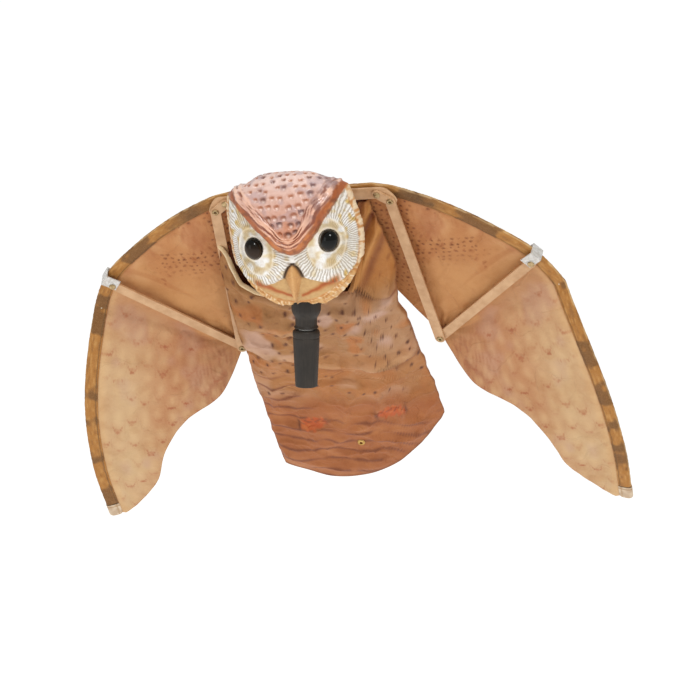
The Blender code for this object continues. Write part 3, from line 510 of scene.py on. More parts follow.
front_depth = deep * (1 - np.minimum(out, 1) ** 3.2) ** 0.625
crown = step(above, -1.0, 3.5)
not_rim = 1 - out ** 10
relief = 6.5 * crown * (1 - 0.85 * out ** 6) + 1.6 * bell(above - 12, 7) * not_rim
disc = (1 - crown) * (1 - step(plate_in, -1.0, 1.0))
ring_wobble = ring_far + 0.05 * noise(eye_x / 9, eye_z / 9, 37)
relief = relief + disc * (1.7 * bell(ring_wobble - 1.0, 0.12) - 1.6 * step(ring_wobble, 0.95, 0.6))
relief = relief + disc * 0.8 * bell(eye_far - 13.8, 1.2) + 1.2 * disc * step(rim_in, 9, 4)
relief = relief - 3.5 * step(eye_far, 13.6, 12.4) * (1 - crown)
plate = (1 - crown) * step(plate_in, -1.0, 1.0)
relief = relief - 1.8 * plate
rope_wide = 2.4 + 7.4 * step(hz, -30, -66)
rope = np.where(is_back, step(out, 0.86, 0.9), step(rim_in, rope_wide + 1, rope_wide - 1)) * (1 - crown)
rope_lay = np.where(is_back, 4.0 * (1 - out), rim_in / 5.0)
relief = relief + rope * (1.0 + 0.8 * np.cos(2 * pi * rope_lay) + 0.5
    * noise(turn * 40 + rim_in / 2, rim_in / 3, 8))
beak_out = (2.5 + 10 * beak_run ** 0.7) * np.minimum(1, 1.6 * beak_share ** 0.8) * in_beak
beak_out = beak_out * (1 - 0.55 * step(beak_run, 0.86, 1.0))
nostril = bell(beak_x - beak_side - 0.9, 1.5) * step(beak_run, 0.36, 0.26) * (hz < beak_high
    + 2.5) * (hz > -46)
nostril = np.maximum(nostril, bell(hz - beak_high - 1.2, 1.0) * bell(beak_x, 4.0))
relief = relief - 1.8 * nostril

crown_lean = -6.5 * step(hz, 0, 62)
face = np.stack([hx + crown_lean, -front_depth + 0 * turn, hz], -1)
back_depth = deep_back * (1 - out ** 2.2) ** 0.5
skin = np.where(is_back[..., None], np.stack([hx + crown_lean, back_depth + 0 * turn, hz], -1), face)
along_turn = np.roll(skin, -1, 1) - np.roll(skin, 1, 1)
along_out = np.gradient(skin, axis=0)
normal = np.cross(along_out, along_turn)
normal /= np.maximum(np.linalg.norm(normal, axis=-1, keepdims=True), 1e-9)
normal *= np.sign((normal * (skin - [0, 8, 0])).sum(-1, keepdims=True))

meridian = np.cumsum(np.linalg.norm(np.diff(skin, axis=0, prepend=skin[:1]), axis=-1), 0)
flat_u, flat_v = meridian * across_turn, meridian * up_turn
dimple_gap = 10.8
row = np.round((flat_v - 9) / (0.92 * dimple_gap))
shift = np.where(row % 2 == 0, 0.0, 0.5)
column = np.round(flat_u / dimple_gap - shift)
dimple_u = (column + shift) * dimple_gap + 2.9 * noise(column * 3.1 + 0.4, row * 2.3 + 0.3, 11)
dimple_v = 9 + row * 0.92 * dimple_gap + 2.9 * noise(column * 1.7 + 0.6, row * 3.9 + 0.2, 12)
du, dv = flat_u - dimple_u, flat_v - dimple_v
field = step(above, 19, 23) * step(np.abs(flat_u) - 0.2 * flat_v, 50, 42) * np.where(is_back,
    step(out, 0.72, 0.85), 1.0)
size = (1.28 - 0.42 * step(flat_v, 10, 80)) * (1 + 0.15 * noise(column * 4.7, row * 1.9, 13))
pit = np.exp(-((du / (3.0 * size)) ** 2 + (dv / (3.0 * size)) ** 2) ** 1.5) * field
lip = np.exp(-((np.hypot(du, dv) - 3.6 * size) / 1.1) ** 2) * field
shade = np.exp(-((du / (2.6 * size)) ** 2 + ((dv - 1.2 * size) / (1.5 * size)) ** 2)) * field
relief = relief - (2.9 * size - 0.4) * pit + 0.45 * lip

strand = step(above, 7.0, 9.0) * step(above, 22, 19) * (1 - is_back)
arm_run = 0.66 * ax + 0.75 * hz
lock = noise(arm_run / 15 + 0.15 * above, above / 1.7 + arm_run / 16, 21)
lock = lock + 0.7 * noise(arm_run / 10 - 0.12 * above, above / 1.2 - arm_run / 22, 22)
strand_line = step(lock, -0.55, 0.55)
relief = relief + strand * (1.3 * strand_line + 0.4 * noise(flat_u / 9, flat_v / 9, 24))
relief = relief + 0.5 * step(above, 0, 2) * step(above, 9, 6) * noise(flat_u / 4, flat_v / 7, 23)
plume_row = meridian / 11
plume = (plume_row % 1.0)
feathers = np.where(is_back, step(out, 0.86, 0.76), 0.0)
relief = relief + feathers * (0.9 * (1 - plume) * (0.6 + 0.4 * np.cos(turn * 26 + pi * np.floor(plume_row))))
head_points = skin + normal * relief[..., None] + beak_out[..., None] * np.array([0, -1.0, -0.12])
head_points = head_points + head_centre

# paint, from the lowest coat up
blotch = noise(flat_u / 6, flat_v / 5, 31)
broad = noise(flat_u / 20, flat_v / 18, 32)
paint = base_coat((232, 227, 217), hx.shape)
paint = coat(paint, (246, 244, 240), step(broad, -0.4, 0.6))
ochre = step(blotch + 0.6 * broad, 0.15, 0.9)
paint = coat(paint, (216, 180, 104), 0.65 * ochre * step(rim_in, 24, 8) + 0.35 * ochre)
patchy = step(noise(eye_x / 7, eye_z / 7, 36) + 0.5 * blotch, -0.7, 0.5)
paint = coat(paint, (208, 180, 128), 0.8 * patchy * step(ring_far, 1.08, 0.9) * step(ring_far, 0.5, 0.8)
    * (eye_far > 13))
paint = coat(paint, (205, 168, 98), 0.55 * bell(ring_far - 1.06, 0.06) * step(blotch, -0.6, 0.5))
paint = coat(paint, (240, 234, 220), 0.55 * bell(eye_far - 14.4, 1.2) * step(blotch, -0.8, 0.3))
paint = coat(paint, (150, 118, 82), 0.7 * bell(eye_far - 13.0, 0.8))
paint = coat(paint, (203, 163, 106), step(plate_in, -0.6, 0.6) * (1 - crown))
streak_line = hz + 67 - 0.40 * ax - 1.0 * noise(ax / 6, hz / 9, 41)
paint = coat(paint, (172, 84, 20), bell(streak_line, 1.3 + 0.07 * ax) * step(ax, 3, 6) * step(ax, 54, 44)
    * (hz < -40))
paint = coat(paint, (213, 165, 102), rope * np.where(hz < -30, 1.0, 0.0))
paint = coat(paint, (226, 202, 168), rope * np.where(hz < -30, 0.0, 1.0))
side_groove = bell(out - 0.945, 0.012) * is_back + bell(rim_in - rope_wide, 0.7) * (1 - is_back)
paint = coat(paint, (196, 122, 58), 0.7 * side_groove * (1 - crown) * step(blotch, -0.7, 0.2))
rope_grain = noise(turn * 55, rim_in / 2.2, 51) + 0.5 * noise(turn * 25, rim_in / 4, 52)
paint = coat(paint, (238, 214, 176), rope * step(rope_grain, 0.15, 0.7))
paint = coat(paint, (186, 118, 52), rope * 0.8 * step(rope_grain, -0.25, -0.7))
beak_body = step(beak_share, 0.0, 0.12) * in_beak
paint = coat(paint, (200, 148, 88), beak_body)
# Painted highlight along the beak's ridge and painted shade along its sides.
paint = coat(paint, (220, 174, 116), beak_body * bell(beak_x, 1.2) * 0.7)
paint = coat(paint, (172, 120, 66), beak_body * bell(beak_x - beak_side, 2.0) * 0.4)
paint = coat(paint, (66, 40, 16), 0.95 * np.clip(nostril * 1.5, 0, 1))
under = step(above, -0.8, 0.6)
paint = coat(paint, (166, 88, 38), under)
paint = coat(paint, (206, 128, 62), under * 0.6 * step(noise(arm_run / 9, above / 2.5, 35), 0.05, 0.7))
paint = coat(paint, (108, 54, 22), under * 0.65 * step(blotch, -0.1, 0.8))
copper = step(above + 1.2 * noise(flat_u / 4, flat_v / 4, 33), 7.0, 9.5)
paint = coat(paint, (212, 162, 142), copper)
# Painted highlight: paler towards the top of the crown and on the ears, most on the ear at the owl's right.
paint = coat(paint, (242, 214, 204), copper * 0.85 * step(flat_v + 10 * broad, 24, 80))
ear = step(ax, 44, 60) * step(hz, 26, 44) * copper
paint = coat(paint, (250, 226, 214), 0.85 * ear * step(-hx, -20, 0) + 0.25 * ear)
paint = coat(paint, (198, 122, 82), copper * 0.65 * step(flat_v + 8 * blotch, 30, 5))
paint = coat(paint, (128, 62, 34), strand * 0.85 * (1 - step(strand_line, 0.0, 0.5)))
paint = coat(paint, (250, 202, 172), strand * 0.65 * step(strand_line, 0.6, 1.0))
dusky = step(noise(flat_u / 11, flat_v / 9, 61), 0.25, 0.55) * step(above, 17, 22)
paint = coat(paint, (176, 150, 156), 0.4 * dusky * field)
paint = coat(paint, (122, 84, 80), 0.55 * strand * step(hx, 18, 36) * step(blotch, -0.5, 0.4))
paint = coat(paint, (166, 134, 132), 0.6 * step(hx, 36, 52) * step(hz, 22, 40)
    * step(blotch + broad, -0.6, 0.4) * copper)
deep_shade = step(noise(column * 5.3, row * 4.1, 62), 0.25, 0.45)
paint = coat(paint, (160, 84, 44), 0.85 * np.clip(shade * 1.2, 0, 1))
paint = coat(paint, (96, 60, 54), 0.75 * np.clip(shade * 1.3, 0, 1) * deep_shade)
# Painted shade: a grey-purple cloud over the darker pits.
grey_pit_shade = bell(np.hypot(du + 1.5, dv - 1), 4.6) * deep_shade * step(blotch, -0.6, 0.5)
paint = coat(paint, (128, 104, 112), 0.6 * grey_pit_shade * field)
glint = bell(np.hypot(du, dv + 1.3 * size), 1.7 * size) * field
paint = coat(paint, (255, 234, 224), 0.85 * glint)
behind = np.where(is_back, 1.0, 0.0) * step(hz + 10 * broad, 10, -6)
paint = coat(paint, (206, 160, 104), behind * 0.9)
paint = coat(paint, (150, 92, 50), feathers * 0.6 * step(plume, 0.35, 0.05))

lines = disc * step(ring_far, 0.98, 1.10) * (1 - rope) * (1 - step(beak_share, 0, 0.05)) * step(beak_x
    - beak_side, 1, 4)
lines = lines + 0.6 * disc * step(eye_far, 15.5, 17.5) * step(ring_far, 1.0, 0.92) * step(eye_x, -14, 2)
mesh = grid_mesh("head_skin", set_in(head_points, frame_turn, middle), True)
paint_mesh(mesh, paint, carve=lines, gloss=np.maximum(copper, 0.6 * under), eye_x=eye_x, eye_z=eye_z)
collar_spot = np.array(frame_turn.inverted() @ (Vector((0, 0, collar_high[2])) - middle)) * 1000
unturn = frame_turn.inverted()
opening, opening_top, opening_front, snap = 27.0, -60, -52, 2.5
neck_x, neck_y = collar_spot[0], collar_spot[1] - 4
with edited(mesh) as bm:
    bmesh.ops.remove_doubles(bm, verts=bm.verts, dist=0.00012)
    gone = []
    for face_of in bm.faces:
        spot = 1000 * (unturn @ (face_of.calc_center_median() - middle))
        from_neck = (spot.x - neck_x) ** 2 + (spot.y - neck_y) ** 2
        if spot.z < opening_top and from_neck < opening ** 2 and spot.y > opening_front:
            gone.append(face_of)
    bmesh.ops.delete(bm, geom=gone, context="FACES")
    for vert in bm.verts:
        if vert.is_boundary:
            spot = 1000 * (unturn @ (vert.co - middle))
            ray = Vector((spot.x - neck_x, spot.y - neck_y, 0))
            if abs(ray.length - opening) < snap:
                ray = ray.normalized() * opening
                spot = Vector((neck_x + ray.x, neck_y + ray.y, spot.z))
                vert.co = middle + frame_turn @ spot / 1000


def head_spray(wire):
    place = object_place(wire)

    def attribute(name):
        return wire.make("Attribute", {"attribute_name": name}, out=2)

    sprayed = wire.make("Attribute", {"attribute_name": "paint"})
    speck = place.noise(900, 3)
    drift = place.noise(260, 4, 0.6)
    angle = wire.math("ARCTAN2", attribute("eye_z"), attribute("eye_x"))
    wander = place.noise(120, 2)
    cut = wire.math("SINE", angle * 74 + wander * 9).rise(0.0, 0.9) * attribute("carve")
    gloss = attribute("gloss")
    lit = drift.rise(0.4, 0.62).blend(sprayed,
        wire.make("Mix", {"data_type": "RGBA", "blend_type": "MULTIPLY"},
                                                      {0: 0.35, 6: sprayed, 7: tone(224, 206, 190)}, 2))
    base = (cut * 0.5).blend(lit, tone(150, 122, 78))
    return {"Base Color": base, "Roughness": 0.5 + 0.12 * drift - 0.28 * gloss,
            "Coat Weight": gloss * 0.35,
            "Normal": raised(wire, 0.0 - cut * 0.8 + speck * 0.10 + drift * 0.12, 0.0010)}


head_paint = finish("head_spray_paint", {"Specular IOR Level": 0.5, "Coat Roughness": 0.22}, head_spray)
head_piece = add_piece(mesh, head_paint, "frame")
shell = head_piece.modifiers.new("wall", "SOLIDIFY")
shell.thickness, shell.offset = 0.0026, -1.0
set_by_modifiers(head_piece)
head_piece.data.shade_smooth()
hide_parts("head_shell")

# ---------------------------------------------------------------- eyes
# Glossy domed eyes pressed into shallow recesses; very dark brown, a little browner towards their lower edge.


def eye_glass(wire):
    height = wire.make("SeparateXYZ", {}, {0: object_place(wire)}, 2)
    depth = object_place(wire).noise(140, 2)
    low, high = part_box("left_eye")
    warm = height.rise(0.5 * (low[2] + high[2]), low[2] - 0.004)
    return {"Base Color": (warm * 0.9).blend(tone(8, 9, 7), tone(50, 34, 20)), "Roughness": 0.08 + 0.05
        * depth}


eye_dark = finish("eye_gloss_dark", {"Specular IOR Level": 0.22}, eye_glass)
eye_radius, eye_high = 12.2, 8.6
for name, side in SIDES.items():
    swell = [(eye_radius * cos(a), eye_high * sin(a)) for a in np.linspace(0, pi / 2, 16)]
    dome = [(0, -2.2), (11.8, -2.2), (eye_radius, -1.4), *swell[:-1], (0, eye_high)]
    skin_out = eye_across / half_width
    seat = head_centre[1] - deep * (1 - skin_out ** 3.2) ** 0.625 + 0.6
    height = head_centre[2] - eye_drop + side * eye_across * face_roll
    spot = Vector((side * eye_across, seat, height)) / 1000
    facing = Matrix.Rotation(pi / 2, 3, "X") @ Matrix.Rotation(radians(side * 6), 3, "Y")
    place = Matrix.Translation(middle + frame_turn @ spot) @ (frame_turn @ facing).to_4x4()
    oval = Matrix.Rotation(side * radians(-11), 4, "Z") @ Matrix.Diagonal((0.84, 1.0, 1.0, 1.0))
    eye = add_piece(turned_mesh(f"{name}_eye_dome", dome, place @ oval), eye_dark, "frame")
    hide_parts(f"{name}_eye")

# ---------------------------------------------------------------- wing cloth
# One thickness of printed polyester per wing, sewn into the leading-edge band and free along its trailing edge. The
# print is flecked brown at the shoulder, pale under the band, and feather-scalloped below the strut.

wing_reach, wing_drop = 236.0, 456.0
elbow = np.array([0.122 * wing_reach, -0.516 * wing_drop])
wrist = np.array([0.703 * wing_reach, -0.258 * wing_drop])
cloth_back, band_wide, band_thick = 7.0, 15.0, 8.0
band_top = bar_half - 1.0
wr, wd = wing_reach, -wing_drop
leading_knots = [(3.5, band_top), (30, band_top - 7), (0.33 * wr, 0.055 * wd), (0.54 * wr, 0.137 * wd),
                 (0.742 * wr, 0.246 * wd), (0.876 * wr, 0.412 * wd), (0.97 * wr, 0.614 * wd), (wr, 0.82 * wd),
                 (0.979 * wr, wd)]
trailing_knots = [(4.5, -190), (elbow[0] - 3, elbow[1] + 4), (elbow[0] + 2, elbow[1] - 9),
    (0.265 * wr, 0.639 * wd),
                  (0.46 * wr, 0.699 * wd), (0.602 * wr, 0.785 * wd), (0.678 * wr, 0.886 * wd), (0.8 * wr,
                      0.966 * wd),
                  (0.892 * wr, wd)]


def curve_through(knots, count):
    """Points spread by knot along a Catmull-Rom curve."""
    knots = np.array(knots, float)
    knots = np.concatenate([[2 * knots[0] - knots[1]], knots, [2 * knots[-1] - knots[-2]]])
    place = np.linspace(0, len(knots) - 3 - 1e-9, count)
    i = place.astype(int)
    t = (place - i)[:, None]
    a, b, c, d = (knots[i + k] for k in range(4))
    return 0.5 * (2 * b + (c - a) * t + (2 * a - 5 * b + 4 * c - d) * t ** 2 + (3 * b - a - 3 * c + d)
        * t ** 3)


def unit(vectors):
    return vectors / np.linalg.norm(vectors, axis=-1, keepdims=True)


def run_along(line):
    """How far along a line each of its points is."""
    return np.concatenate([[0], np.cumsum(np.linalg.norm(np.diff(line, axis=0), axis=1))])


def moved_in(path, distance):
    """A plane curve moved sideways, to its right."""
    ahead = unit(np.gradient(path, axis=0))
    return path + distance * np.stack([ahead[:, 1], -ahead[:, 0]], 1)


def curl(x, y):
    """How far forwards the outer wing curls past the line from the elbow to the leading edge."""
    fold = np.array([0.826 * wing_reach, -0.33 * wing_drop]) - elbow
    fold /= np.linalg.norm(fold)
    past = (x - elbow[0]) * fold[1] - (y - elbow[1]) * fold[0] - 6
    return np.where(past > 0, 75 * (1 - np.exp(-np.maximum(past, 0) / 110)), 0.0)


def spindle(x, y, pitch_x, pitch_y, half_x, half_y, seed):
    """Staggered flecks: 1 in the middle of each fleck, 0 between, each moved and sized by chance."""
    row = np.round(y / pitch_y)
    column = np.round(x / pitch_x - 0.5 * (row % 2))
    sx = (column + 0.5 * (row % 2)) * pitch_x + 0.3 * pitch_x * noise(column * 2.1, row * 1.3, seed)
    sy = row * pitch_y + 0.3 * pitch_y * noise(column * 1.1, row * 2.7, seed + 1)
    grow = 0.75 + 0.45 * noise(column * 3.3, row * 3.1, seed + 2)
    return np.exp(-(((x - sx) / (half_x * grow)) ** 2 + ((y - sy) / (half_y * grow)) ** 2) ** 1.5)


along_count, across_count, inward_count = 330, 104, 18
upper = moved_in(curve_through(leading_knots, along_count), band_wide - 1.0)
lower = curve_through(trailing_knots, along_count)
tuck = np.linspace(-34, 0, inward_count, endpoint=False)[:, None]
upper = np.concatenate([upper[0] + tuck * [1, 0.02], upper])
lower = np.concatenate([lower[0] + tuck * [1, -2.1], lower])
run = np.linspace(0, 1, across_count)[None, :, None]
sheet_xy = lower[:, None] * (1 - run) + upper[:, None] * run
wx, wy = sheet_xy[..., 0], sheet_xy[..., 1]
edge_path = moved_in(curve_through(leading_knots, 200), band_wide - 1.0)
edge_run = run_along(edge_path)
gap2 = (wx[..., None] - edge_path[:, 0]) ** 2 + (wy[..., None] - edge_path[:, 1]) ** 2
nearest = gap2.argmin(-1)
from_band, along_band = np.sqrt(gap2.min(-1)), edge_run[nearest]
strut_dir = unit(wrist - elbow)
below = -((wy - elbow[1]) * strut_dir[0] - (wx - elbow[0]) * strut_dir[1])
arm_start = np.array([23.0, -11.0])
arm_dir = unit(elbow - arm_start)
right_of_arm = (wx - arm_start[0]) * -arm_dir[1] + (wy - arm_start[1]) * arm_dir[0]

shoulder_zone = step(wy - 0.25 * wx, -190, -60)
inner_zone = step(right_of_arm, 20, -5) * step(wy, -250, -200)
band_zone = step(from_band, 62, 20) * step(along_band, 30, 80) * step(along_band, 215, 180)
low_zone = step(below + 6 * noise(wx / 20, wy / 20, 71), 4, 26)
outer_zone = step(along_band, 190, 330) * step(from_band, 95, 30)
cloud = noise(wx / 30, wy / 34, 72) + 0.5 * noise(wx / 13, wy / 15, 73)
fine = noise(wx / 2.2, wy / 9, 74)
fanned = 26 * np.arctan2(wy + 260, wx + 60)

cloth_paint = base_coat((201, 149, 99), wx.shape)
cloth_paint = coat(cloth_paint, (187, 124, 76), np.maximum(0.8 * shoulder_zone, 0.55 * inner_zone))
cloth_paint = coat(cloth_paint, (216, 172, 128), 0.75 * band_zone * step(cloud, -0.7, 0.6))
streaks = step(noise(fanned, from_band / 40, 79) + 0.4 * cloud, 0.1, 0.8)
cloth_paint = coat(cloth_paint, (172, 106, 60), 0.35 * streaks * (1 - low_zone))
cloth_paint = coat(cloth_paint, (190, 140, 104), low_zone * 0.9)
cloth_paint = coat(cloth_paint, (208, 178, 142), low_zone * outer_zone * 0.85)
cloth_paint = coat(cloth_paint, (214, 190, 150), low_zone * 0.6 * step(along_band, 300, 400)
    * step(cloud, -0.3, 0.8))
cloth_paint = coat(cloth_paint, (178, 112, 76), 0.4 * step(cloud, 0.1, 0.9) * (1 - outer_zone))
# Painted lilac sheen in patches below the strut.
cloth_paint = coat(cloth_paint, (196, 162, 150), 0.45 * low_zone * step(cloud, 0.2, 1.0))
elbow_zone = bell(np.hypot(wx - elbow[0] - 26, (wy - elbow[1] + 38) * 0.8), 44) * low_zone
cloth_paint = coat(cloth_paint, (160, 100, 72), 0.6 * elbow_zone * step(fine, -0.6, 0.8))
cloth_paint = coat(cloth_paint, (168, 98, 58), 0.3 * step(fine + 0.6 * cloud, 0.2, 1.2) * shoulder_zone)

wide_feather, long_feather = 17.0, 33.0
lane = from_band / wide_feather + 0.22 * noise(along_band / 34, from_band / 22, 75)
lane_number = np.floor(lane)
side_of = lane - lane_number - 0.5
along_feather = along_band / long_feather + 0.5 * (lane_number % 2) + 0.42 * noise(lane_number * 3.7,
    along_band / 60, 76)
q = along_feather % 1.0
cell = noise(lane_number * 2.1 + 0.3, np.floor(along_feather) * 1.9 + 0.2, 78)
tip_line = 0.90 - 1.5 * side_of ** 2 + 0.07 * noise(wx / 5, wy / 5, 77) + 0.05 * cell
tip_mark = bell(q - tip_line, 0.045) * step(np.abs(side_of), 0.46, 0.30) * np.clip(0.55 + 0.7 * cell, 0, 1)
tip_blot = bell(side_of, 0.13) * bell(q - 0.86, 0.07) * np.clip(0.5 + 0.8 * cell, 0, 1)
side_mark = bell(np.abs(side_of) - 0.5, 0.05) * step(q, 0.35, 0.7) * np.clip(0.4 + cell, 0, 1)
feather_zone = step(below, 16, 42) * step(along_band, 140, 210)
cloth_paint = coat(cloth_paint, (166, 96, 66), feather_zone
    * np.clip(0.7 * tip_mark + 0.6 * tip_blot + 0.22 * side_mark, 0, 1))
cloth_paint = coat(cloth_paint, (226, 196, 156), feather_zone * 0.35 * bell(side_of, 0.3)
    * bell(q - 0.45, 0.3))
cloth_paint = coat(cloth_paint, (222, 186, 140), 0.5 * bell(from_band - 5, 5) * step(along_band, 190, 230))
fleck = spindle(wx + 0.25 * wy, wy, 8.0, 7.0, 1.9, 1.3, 80)
fleck_zone = step(shoulder_zone, 0.2, 0.7) * step(noise(wx / 24, wy / 24, 83), -0.55, -0.1)
fleck_zone = np.maximum(fleck_zone, 0.8 * step(right_of_arm, 4, -4) * step(wy, -190, -150))
cloth_paint = coat(cloth_paint, (104, 50, 26), np.clip(1.2 * fleck, 0, 1) * fleck_zone)
row_fleck = spindle(along_band, from_band - 46, 9.5, 30, 2.4, 4.2, 85)
cloth_paint = coat(cloth_paint, (150, 84, 46), 0.75 * row_fleck * step(along_band, 50, 80)
    * step(along_band, 190, 165)
                   * bell(from_band - 46, 12))
cloth_paint = coat(cloth_paint, (150, 92, 54), 0.5 * step(from_band, 3.5, 0.5))
cloth_paint = cloth_paint * np.array([0.955, 0.925, 0.87])

hang = 3.0 * noise(wx / 58, wy / 64, 91) + 1.5 * noise(wx / 24, wy / 30, 92) + 0.55 * noise(wx / 9, wy / 12,
    93)
fan_far = np.hypot(wx - elbow[0], wy - elbow[1])
fan = np.arctan2(wy - elbow[1], wx - elbow[0])
hang = hang + 1.2 * np.sin(fan * 17 + 2 * noise(wx / 30, wy / 30, 94)) * bell(fan_far, 70) * step(fan_far, 6,
    24)
tug = 0.9 * np.sin(along_band / 5.5 + 1.5 * noise(along_band / 14, from_band / 20, 95)) * step(from_band, 26,
    2)
hang = hang + tug * step(noise(along_band / 26, from_band * 0 + 2, 96), -0.1, 0.4)
hang = hang * step(from_band, 0, 14) * step(wx, -2, 22)
hang = np.clip(hang, -5.5, 5.5)


def printed_cloth(weave, crush):
    """Thin printed polyester: the print with painted shade over its crumples, a crushed surface with soft sheen, and a
    plain weave.
    """
    def build(wire):
        place = object_place(wire)
        printed = wire.make("Attribute", {"attribute_name": "paint"})
        soft = place.noise(45, 5, 0.62)
        fold = 1 - wire.math("ABSOLUTE", place.noise(crush, 2, 0.4) - 0.5).rise(0.0, 0.035)
        thread = place.noise(weave, 1)
        dirt_and_shade = place.noise(14, 4)
        # Painted shade: the print darkens over the soft crumples and in broad blotches, which also vary the roughness.
        shade = (soft.rise(0.42, 0.66) * 0.35 + dirt_and_shade.rise(0.4, 0.7) * 0.25)
        darker = wire.make("Mix", {"data_type": "RGBA", "blend_type": "MULTIPLY"},
                           {0: 1.0, 6: printed, 7: tone(228, 208, 190)}, 2)
        base = (thread.rise(0.4, 0.6) * 0.06).blend(shade.blend(printed, darker), tone(226, 190, 150))
        normal = raised(wire, soft * 0.8 + fold * 0.22, 0.0032, 0.8)
        return {"Base Color": base, "Roughness": 0.42 + 0.25 * dirt_and_shade + 0.1 * thread,
                "Normal": raised(wire, thread, 0.0002, 0.6, normal)}
    return build


wing_print = finish("printed_wing_cloth", {"Specular IOR Level": 0.2}, printed_cloth(1700.0, 21.0))
wing_height = curl(wx, wy) - cloth_back + hang
for name, side in SIDES.items():
    mesh = grid_mesh(f"{name}_wing_cloth", in_wing(np.stack([wx, wy, wing_height], -1), name))
    paint_mesh(mesh, cloth_paint)
    piece = add_piece(mesh, wing_print, wall=0.0005)
    bend_at_flap(piece)
    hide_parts(f"{name}_wing_fabric")

# ---------------------------------------------------------------- leading-edge bands
# A band of the same cloth, printed like bark and folded double round a springy fibreglass rod, from the middle of the
# bird to each wing tip, where a white pocket holds the rod's end. Clear clips hook the struts to the band.

band_count, round_count = 560, 26
rod_radius, rod_sides = 1.9, 10
wing_part = moved_in(curve_through(leading_knots, band_count), band_wide / 2)
wing_line = np.stack([wing_part[:, 0], wing_part[:, 1], curl(wing_part[:, 0], wing_part[:, 1]) - cloth_back],
    1)
centre_x = np.linspace(0, flex - 3.5, 90, endpoint=False)
wing_run = run_along(wing_line)
pocket_long, pocket_past = 17.0, 3.5
pocket_start = int(np.searchsorted(wing_run, wing_run[-1] - pocket_long))


def band_cloth(wire):
    place = object_place(wire)
    printed = wire.make("Attribute", {"attribute_name": "paint"})
    soft = place.noise(110, 4, 0.6)
    thread = place.noise(1900, 1)
    return {"Base Color": (thread.rise(0.4, 0.65) * 0.18).blend(printed, tone(214, 178, 128)),
            "Roughness": 0.5 + 0.2 * soft, "Normal": raised(wire, soft * 0.7 + thread * 0.08, 0.0016)}


band_look = finish("bark_print_band", {"Specular IOR Level": 0.2}, band_cloth)
white_look = finish("white_pocket_cloth", {"Specular IOR Level": 0.35}, band_cloth)


def glass_rod(wire):
    place = object_place(wire)
    strands = place.noise(1500, 2)
    return {"Base Color": strands.rise(0.35, 0.65).blend(tone(205, 198, 168), tone(232, 227, 205)),
            "Roughness": 0.3 + 0.2 * strands, "Normal": raised(wire, strands, 0.00006)}


rod_look = finish("glass_rod", {}, glass_rod)


def tube_of(centre, sideways, face, half_wide, half_thick, pucker):
    """Flattened tube round a centre line, squarer towards its inner edge, with small puckers."""
    spin = np.linspace(0, 2 * pi, round_count, endpoint=False)[None, :, None]
    c, s = np.cos(spin), np.sin(spin)
    flat = half_thick * np.sign(s) * np.abs(s) ** 0.8 * (0.62 + 0.38 * c)
    return centre[:, None] + sideways[:, None] * half_wide * c + face[:, None] * (flat + pucker[..., None]
        * s)


def band_print(run_mm, spin, seed):
    """Bark print: golden brown with dark patches, frayed pale outside, fine grain along it."""
    patch = noise(run_mm / 19, spin * 0 + seed, seed) + 0.5 * noise(run_mm / 9, spin * 1.2, seed + 1)
    grain = noise(run_mm / 7, spin * 5, seed + 2)
    colour = base_coat((164, 108, 46), run_mm.shape)
    colour = coat(colour, (198, 150, 90), 0.6 * step(grain, 0.0, 0.9))
    colour = coat(colour, (104, 66, 30), 0.85 * step(patch, 0.18, 0.6))
    colour = coat(colour, (70, 44, 24), 0.6 * bell(run_mm - 138, 22))
    colour = coat(colour, (130, 84, 40), 0.6 * step(-grain, 0.25, 0.8))
    colour = coat(colour, (214, 184, 140), 0.65 * step(np.cos(spin), 0.86, 0.99) * step(grain, -0.5, 0.3))
    return coat(colour, (78, 50, 28), 0.7 * bell(np.cos(spin) + 0.72, 0.07) * step(run_mm, 130, 190))


